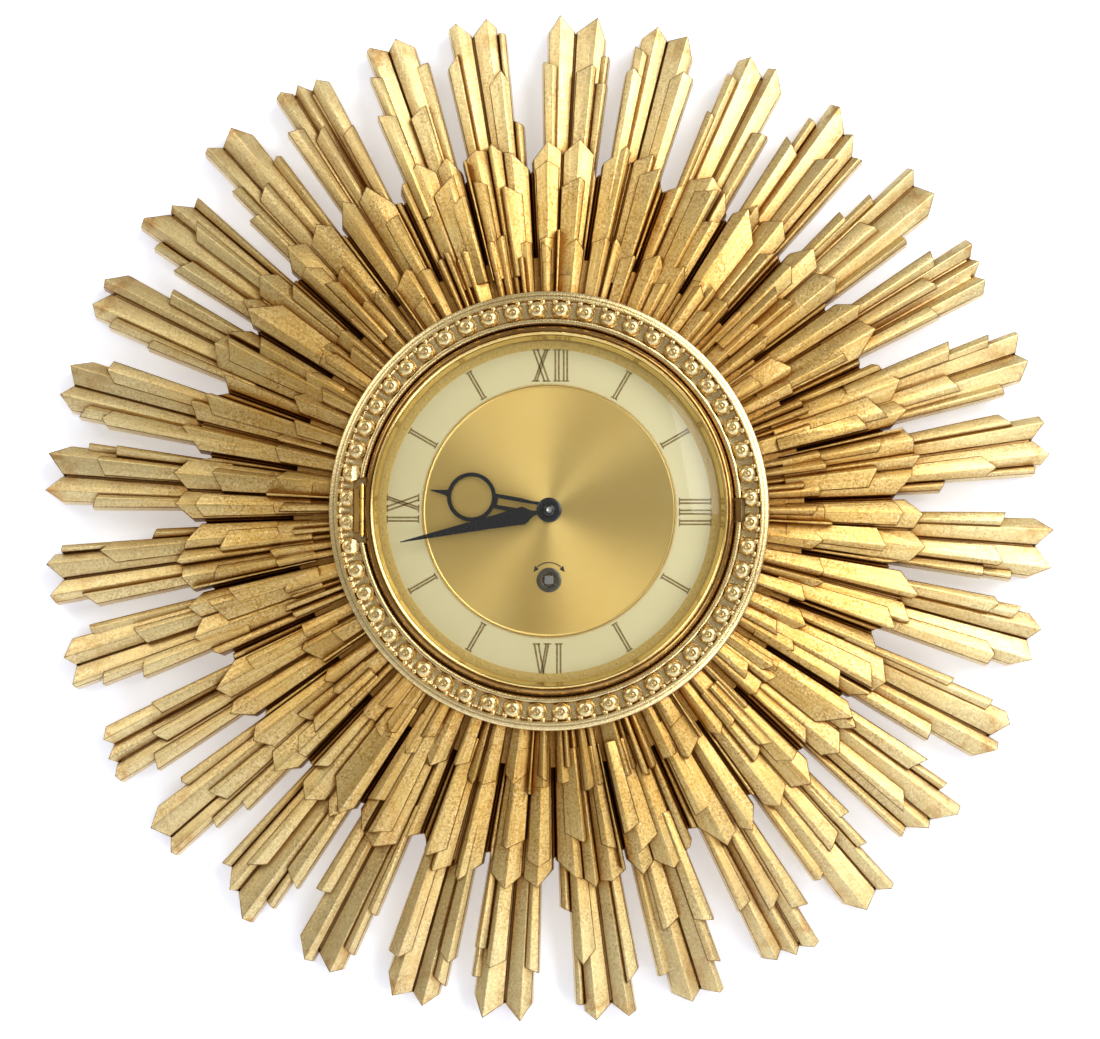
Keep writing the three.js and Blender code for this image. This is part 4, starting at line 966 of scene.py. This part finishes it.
def dial_middle():
    """The brushed centre disc with a rolled rim and a milled line of tiny beads."""
    # The points just inside both rims keep the shading of the flat face flat.
    section = [
        (3.6, 37.9), (3.6, CENTRE_FRONT), (4.2, CENTRE_FRONT), (67.4, CENTRE_FRONT), (68.0, CENTRE_FRONT),
        (68.4, CENTRE_FRONT + 0.2), (68.8, CENTRE_FRONT), (69.1, 38.3), (69.1, 37.9),
    ]
    disc = make_object("dial_centre_disc", lathe(section, 256))
    hole = lathe([(0, 37), (KEY_HOLE_R, 37), (KEY_HOLE_R, 40), (0, 40)], 48, (0, KEY_Z), closed=False)
    carve(disc, [], [hole])
    shade(disc, 40)
    finish_piece(disc, BRUSHED, "body", "dial_brushed", "dial_centre")
    grain = [(0, 38.15), (0.3, 38.0), (0.42, 37.7), (0, 37.6)]
    count = 300
    grains = [lathe_at(grain, 6, 360 * i / count, 69.75) for i in range(count)]
    line = merge("dial_milled_line", grains)
    shade(line, 60)
    finish_piece(line, BORDER, "body", "dial_brushed")


def grommet():
    """The dark bushing round the winding square."""
    section = [
        (3.7, 35.2), (5.2, 35.2), (5.2, 38.9), (6.8, 38.9), (6.8, 39.2), (6.5, 39.4), (4.3, 39.4), (4.0, 39.3),
        (3.7, 39.0),
    ]
    ring = make_object("grommet_turned", lathe(section, 64, (0, KEY_Z)))
    shade(ring, 40)
    return finish_piece(ring, GUNMETAL, "body", "bezel_bronze", "winding_grommet")


def winding_arrow():
    """A printed double-headed arc over the winding hole."""
    radius = 9.6
    half_line = 0.3
    half_arc = 44
    step = 5
    head_length = 19
    head_half = 1.5
    back, front = CENTRE_FRONT - 0.02, CENTRE_FRONT + 0.05

    def round_key(points):
        spots = [place(angle, r, 0) for angle, r in points]
        return prism([(p.x / MM, p.z / MM + KEY_Z) for p in spots], back, front)

    arc = [(k, radius + half_line) for k in range(-half_arc, half_arc + 1, step)]
    arc += [(k, radius - half_line) for k in range(half_arc, -half_arc - 1, -step)]
    made = [round_key(arc)]
    for side in (-1, 1):
        foot = half_arc * side
        tip = (half_arc + head_length) * side
        made.append(round_key([(foot, radius + head_half), (foot, radius - head_half), (tip, radius)]))
    arrow = merge("winding_arrow", made)
    return finish_piece(arrow, INK, "body", "hand_black")


# ---- Hands ----
def point_at(outline, angle):
    """Turns an outline drawn at twelve o'clock to a clock angle."""
    turn = math.radians(angle)
    return [(x * math.cos(turn) + z * math.sin(turn), z * math.cos(turn) - x * math.sin(turn)) for x, z in outline]


def curve_through(points):
    """A smooth open line through the points (Catmull-Rom)."""
    steps = 6
    made = []
    padded = [points[0], *points, points[-1]]
    for a, b, c, d in zip(padded, padded[1:], padded[2:], padded[3:]):
        for k in range(steps):
            t = k / steps
            made.append(tuple(
                0.5 * (2 * q + (r - p) * t + (2 * p - 5 * q + 4 * r - s) * t**2 + (3 * q - p - 3 * r + s) * t**3)
                for p, q, r, s in zip(a, b, c, d)
            ))
    made.append(points[-1])
    return made


def both_sides(half):
    """An outline from its right half, mirrored."""
    return [*half, *[(-x, z) for x, z in reversed(half)]]


def minute_hand():
    """The minute hand: a leaf-shaped blade on a stepped hub."""
    near = 44
    far = 44.8
    half = curve_through(
        [(1.2, 5), (1.3, 8), (2.4, 10.5), (4.7, 14), (4.5, 19), (3.5, 32), (2.0, 56), (0.25, 83)]
    )
    blade = soften(prism(point_at(both_sides(half), MINUTE_ANGLE), near, far), 0.15, 2)
    hub = lathe([(1.6, 43.6), (6.8, 43.6), (6.8, 44.7), (6.4, 45), (5.2, 45.05), (1.6, 45.05)], 64)
    hand = merge("minute_hand_blade", [blade, hub])
    shade(hand, 40)
    return finish_piece(hand, BLACK, "minute_hand", "hand_black", "minute_hand")


def hour_hand():
    """The hour hand: two slim arms, an open loop and a short spike, on a pipe."""
    near = 41.4
    far = 42.2
    ring_z = 43  # the middle of the loop, out from the hub
    base = make_object("hour_hand_loop", lathe([(3.3, near), (6.2, near), (6.2, far), (3.3, far)], 48))
    centre = point_at([(0, ring_z)], HOUR_ANGLE)[0]
    loop = lathe([(11.2, near), (13.4, near), (13.4, far), (11.2, far)], 96, centre)
    added = [loop]
    for side in (-1, 1):
        slim = [(side * 1.8, 4), (side * 1.8, 12), (side * 1.9, ring_z - 12.2), (side * 4.1, ring_z - 12.2)]
        slim += [(side * 4.0, 16), (side * 3.4, 10), (side * 3.8, 4)]
        if side > 0:
            slim.reverse()
        added.append(prism(point_at(slim, HOUR_ANGLE), near, far))
    half = curve_through([(4.0, ring_z + 11.6), (1.9, ring_z + 13.6), (1.2, ring_z + 16), (0.2, 66)])
    spike = prism(point_at(both_sides(half), HOUR_ANGLE), near, far)
    cross = prism(point_at(both_sides([(4.1, ring_z - 14.4), (4.1, ring_z - 11.6)]), HOUR_ANGLE), near, far)
    pipe = lathe([(3.3, 39.6), (3.9, 39.6), (3.9, near + 0.1), (3.3, near + 0.1)], 48)
    carve(base, [*added, spike, cross, pipe])
    shade(base, 40)
    return finish_piece(base, BLACK, "hour_hand", "hand_black", "hour_hand")


def hand_nut():
    """The hand nut and the rounded end of the arbor in it."""
    nut = lathe([(1.3, 45.3), (3.4, 45.3), (3.4, 46.1), (3.1, 46.6), (2.3, 47), (1.9, 47.05), (1.3, 47.05)], 48)
    body = make_object("hand_nut_turned", nut)
    shade(body, 40)
    finish_piece(body, BLACK, "minute_hand", "hand_black", "hand_nut")
    section = [
        (0, 47.85), (0.5, 47.9), (0.9, 48.15), (1.35, 48.2), (1.7, 47.9), (1.75, 47.4), (1.75, 46.7), (0, 46.7),
    ]
    tip = lathe(section, 32, closed=False)
    pin = make_object("hand_nut_tip", tip)
    shade(pin, 40)
    return finish_piece(pin, STEEL, "minute_hand", "steel")


# ---- CAD nodes that stay in view ----
def dress_cad_nodes():
    """Gives each CAD node that stays in view the look of its material slot."""
    for row in frame["record"]["subparts"]:
        node = frame["nodes"].get(row["node"])
        look = SLOT_LOOK.get(row.get("material_slot"))
        if node and look:
            node.data.materials.clear()
            node.data.materials.append(look)


# ---- Stage, light and camera ----
WALL_Y = 0.0006  # just behind the clock's back; lengths are in metres from here on
FLOOR_Z = -2.2
WALL_TOP = 3
WALL_HALF = 4
FLOOR_FRONT = -6
LIGHTS_AIM = Vector((0, -0.03, 0))
CAMERA_DISTANCE = 1.6
CAMERA_TILT = -3.6  # degrees; the camera looks up at the clock a little from below
CAMERA_AIM = Vector((0.0005, -0.03, -0.0043))
SENSOR_MM = 36
PICTURE_WIDTH = 0.6048  # what the picture spans, side to side, at the aim


def stage_plane(name, corners, material):
    """A flat piece of the room, which isn't part of the clock."""
    bm = bmesh.new()
    bm.faces.new([bm.verts.new(c) for c in corners])
    plane = make_object(name, bm)
    plane.data.materials.append(material)


def wall_look():
    """Matt white with a faint glow. From behind it is clear, so that the clock's back shows."""
    s = Shader("wall_white")
    patch = s.noise(3, 2)
    s.set(Base_Color=s.ramp(patch, (0.3, rgb(236, 241, 254)), (0.7, rgb(240, 245, 255))))
    s.set(Roughness=0.9, Emission_Color=(0.93, 0.94, 1, 1), Emission_Strength=0.38)
    clear = s.node("ShaderNodeBsdfTransparent").outputs[0]
    rear = s.node("ShaderNodeNewGeometry").outputs["Backfacing"]
    both = s.node("ShaderNodeMixShader", {0: rear, 1: s.surface.outputs[0], 2: clear})
    s.put(s.tree.nodes["Material Output"].inputs["Surface"], both.outputs[0])
    return s.material


def studio():
    """A pale wall and floor, and a warm even light from all round."""
    look = wall_look()
    low_left = Vector((-WALL_HALF, WALL_Y, FLOOR_Z))
    low_right = Vector((WALL_HALF, WALL_Y, FLOOR_Z))
    high_left = Vector((-WALL_HALF, WALL_Y, WALL_TOP))
    high_right = Vector((WALL_HALF, WALL_Y, WALL_TOP))
    front_left = Vector((-WALL_HALF, FLOOR_FRONT, FLOOR_Z))
    front_right = Vector((WALL_HALF, FLOOR_FRONT, FLOOR_Z))
    stage_plane("wall", [low_left, low_right, high_right, high_left], look)
    stage_plane("floor", [low_left, front_left, front_right, low_right], look)
    world = bpy.data.worlds.new("studio")
    SCENE.world = world
    world.use_nodes = True
    fill = world.node_tree.nodes["Background"]
    fill.inputs["Color"].default_value = (1, 0.95, 0.86, 1)
    fill.inputs["Strength"].default_value = 0.4


def soft_light(name, where, size, power):
    """A white area light aimed at the clock."""
    light = bpy.data.lights.new(name, "AREA")
    light.shape = "RECTANGLE"
    light.size, light.size_y = size
    light.energy = power
    lamp = bpy.data.objects.new(name, light)
    lamp.location = where
    lamp.rotation_euler = (LIGHTS_AIM - Vector(where)).to_track_quat("-Z", "Y").to_euler()
    SCENE.collection.objects.link(lamp)


def lights():
    """A large key from the upper right, and two weaker lights for the left and the low rays."""
    soft_light("key", (1.3, -1.4, 0.85), (1.5, 1.6), 40)
    soft_light("upper_left", (-1.35, -1.2, 1.0), (1.3, 1.0), 11)
    soft_light("low", (1.15, -1.5, -0.9), (0.6, 0.6), 8)


def camera():
    """The viewing angle: straight on, from slightly below."""
    data = bpy.data.cameras.new("camera")
    data.sensor_width = SENSOR_MM
    data.lens = SENSOR_MM * CAMERA_DISTANCE / PICTURE_WIDTH
    cam = bpy.data.objects.new("camera", data)
    tilt = math.radians(CAMERA_TILT)
    cam.location = CAMERA_AIM + Vector((0, -math.cos(tilt), math.sin(tilt))) * CAMERA_DISTANCE
    cam.rotation_euler = (CAMERA_AIM - cam.location).to_track_quat("-Z", "Y").to_euler()
    SCENE.collection.objects.link(cam)
    SCENE.camera = cam


camera()
studio()
lights()
dress_cad_nodes()
sunburst()
bezel()
glass()
sight_ring()
thumb_tab()
dial_markers()
dial_border()
dial_middle()
grommet()
winding_arrow()
minute_hand()
hour_hand()
hand_nut()

SCENE.view_settings.view_transform = "Standard"
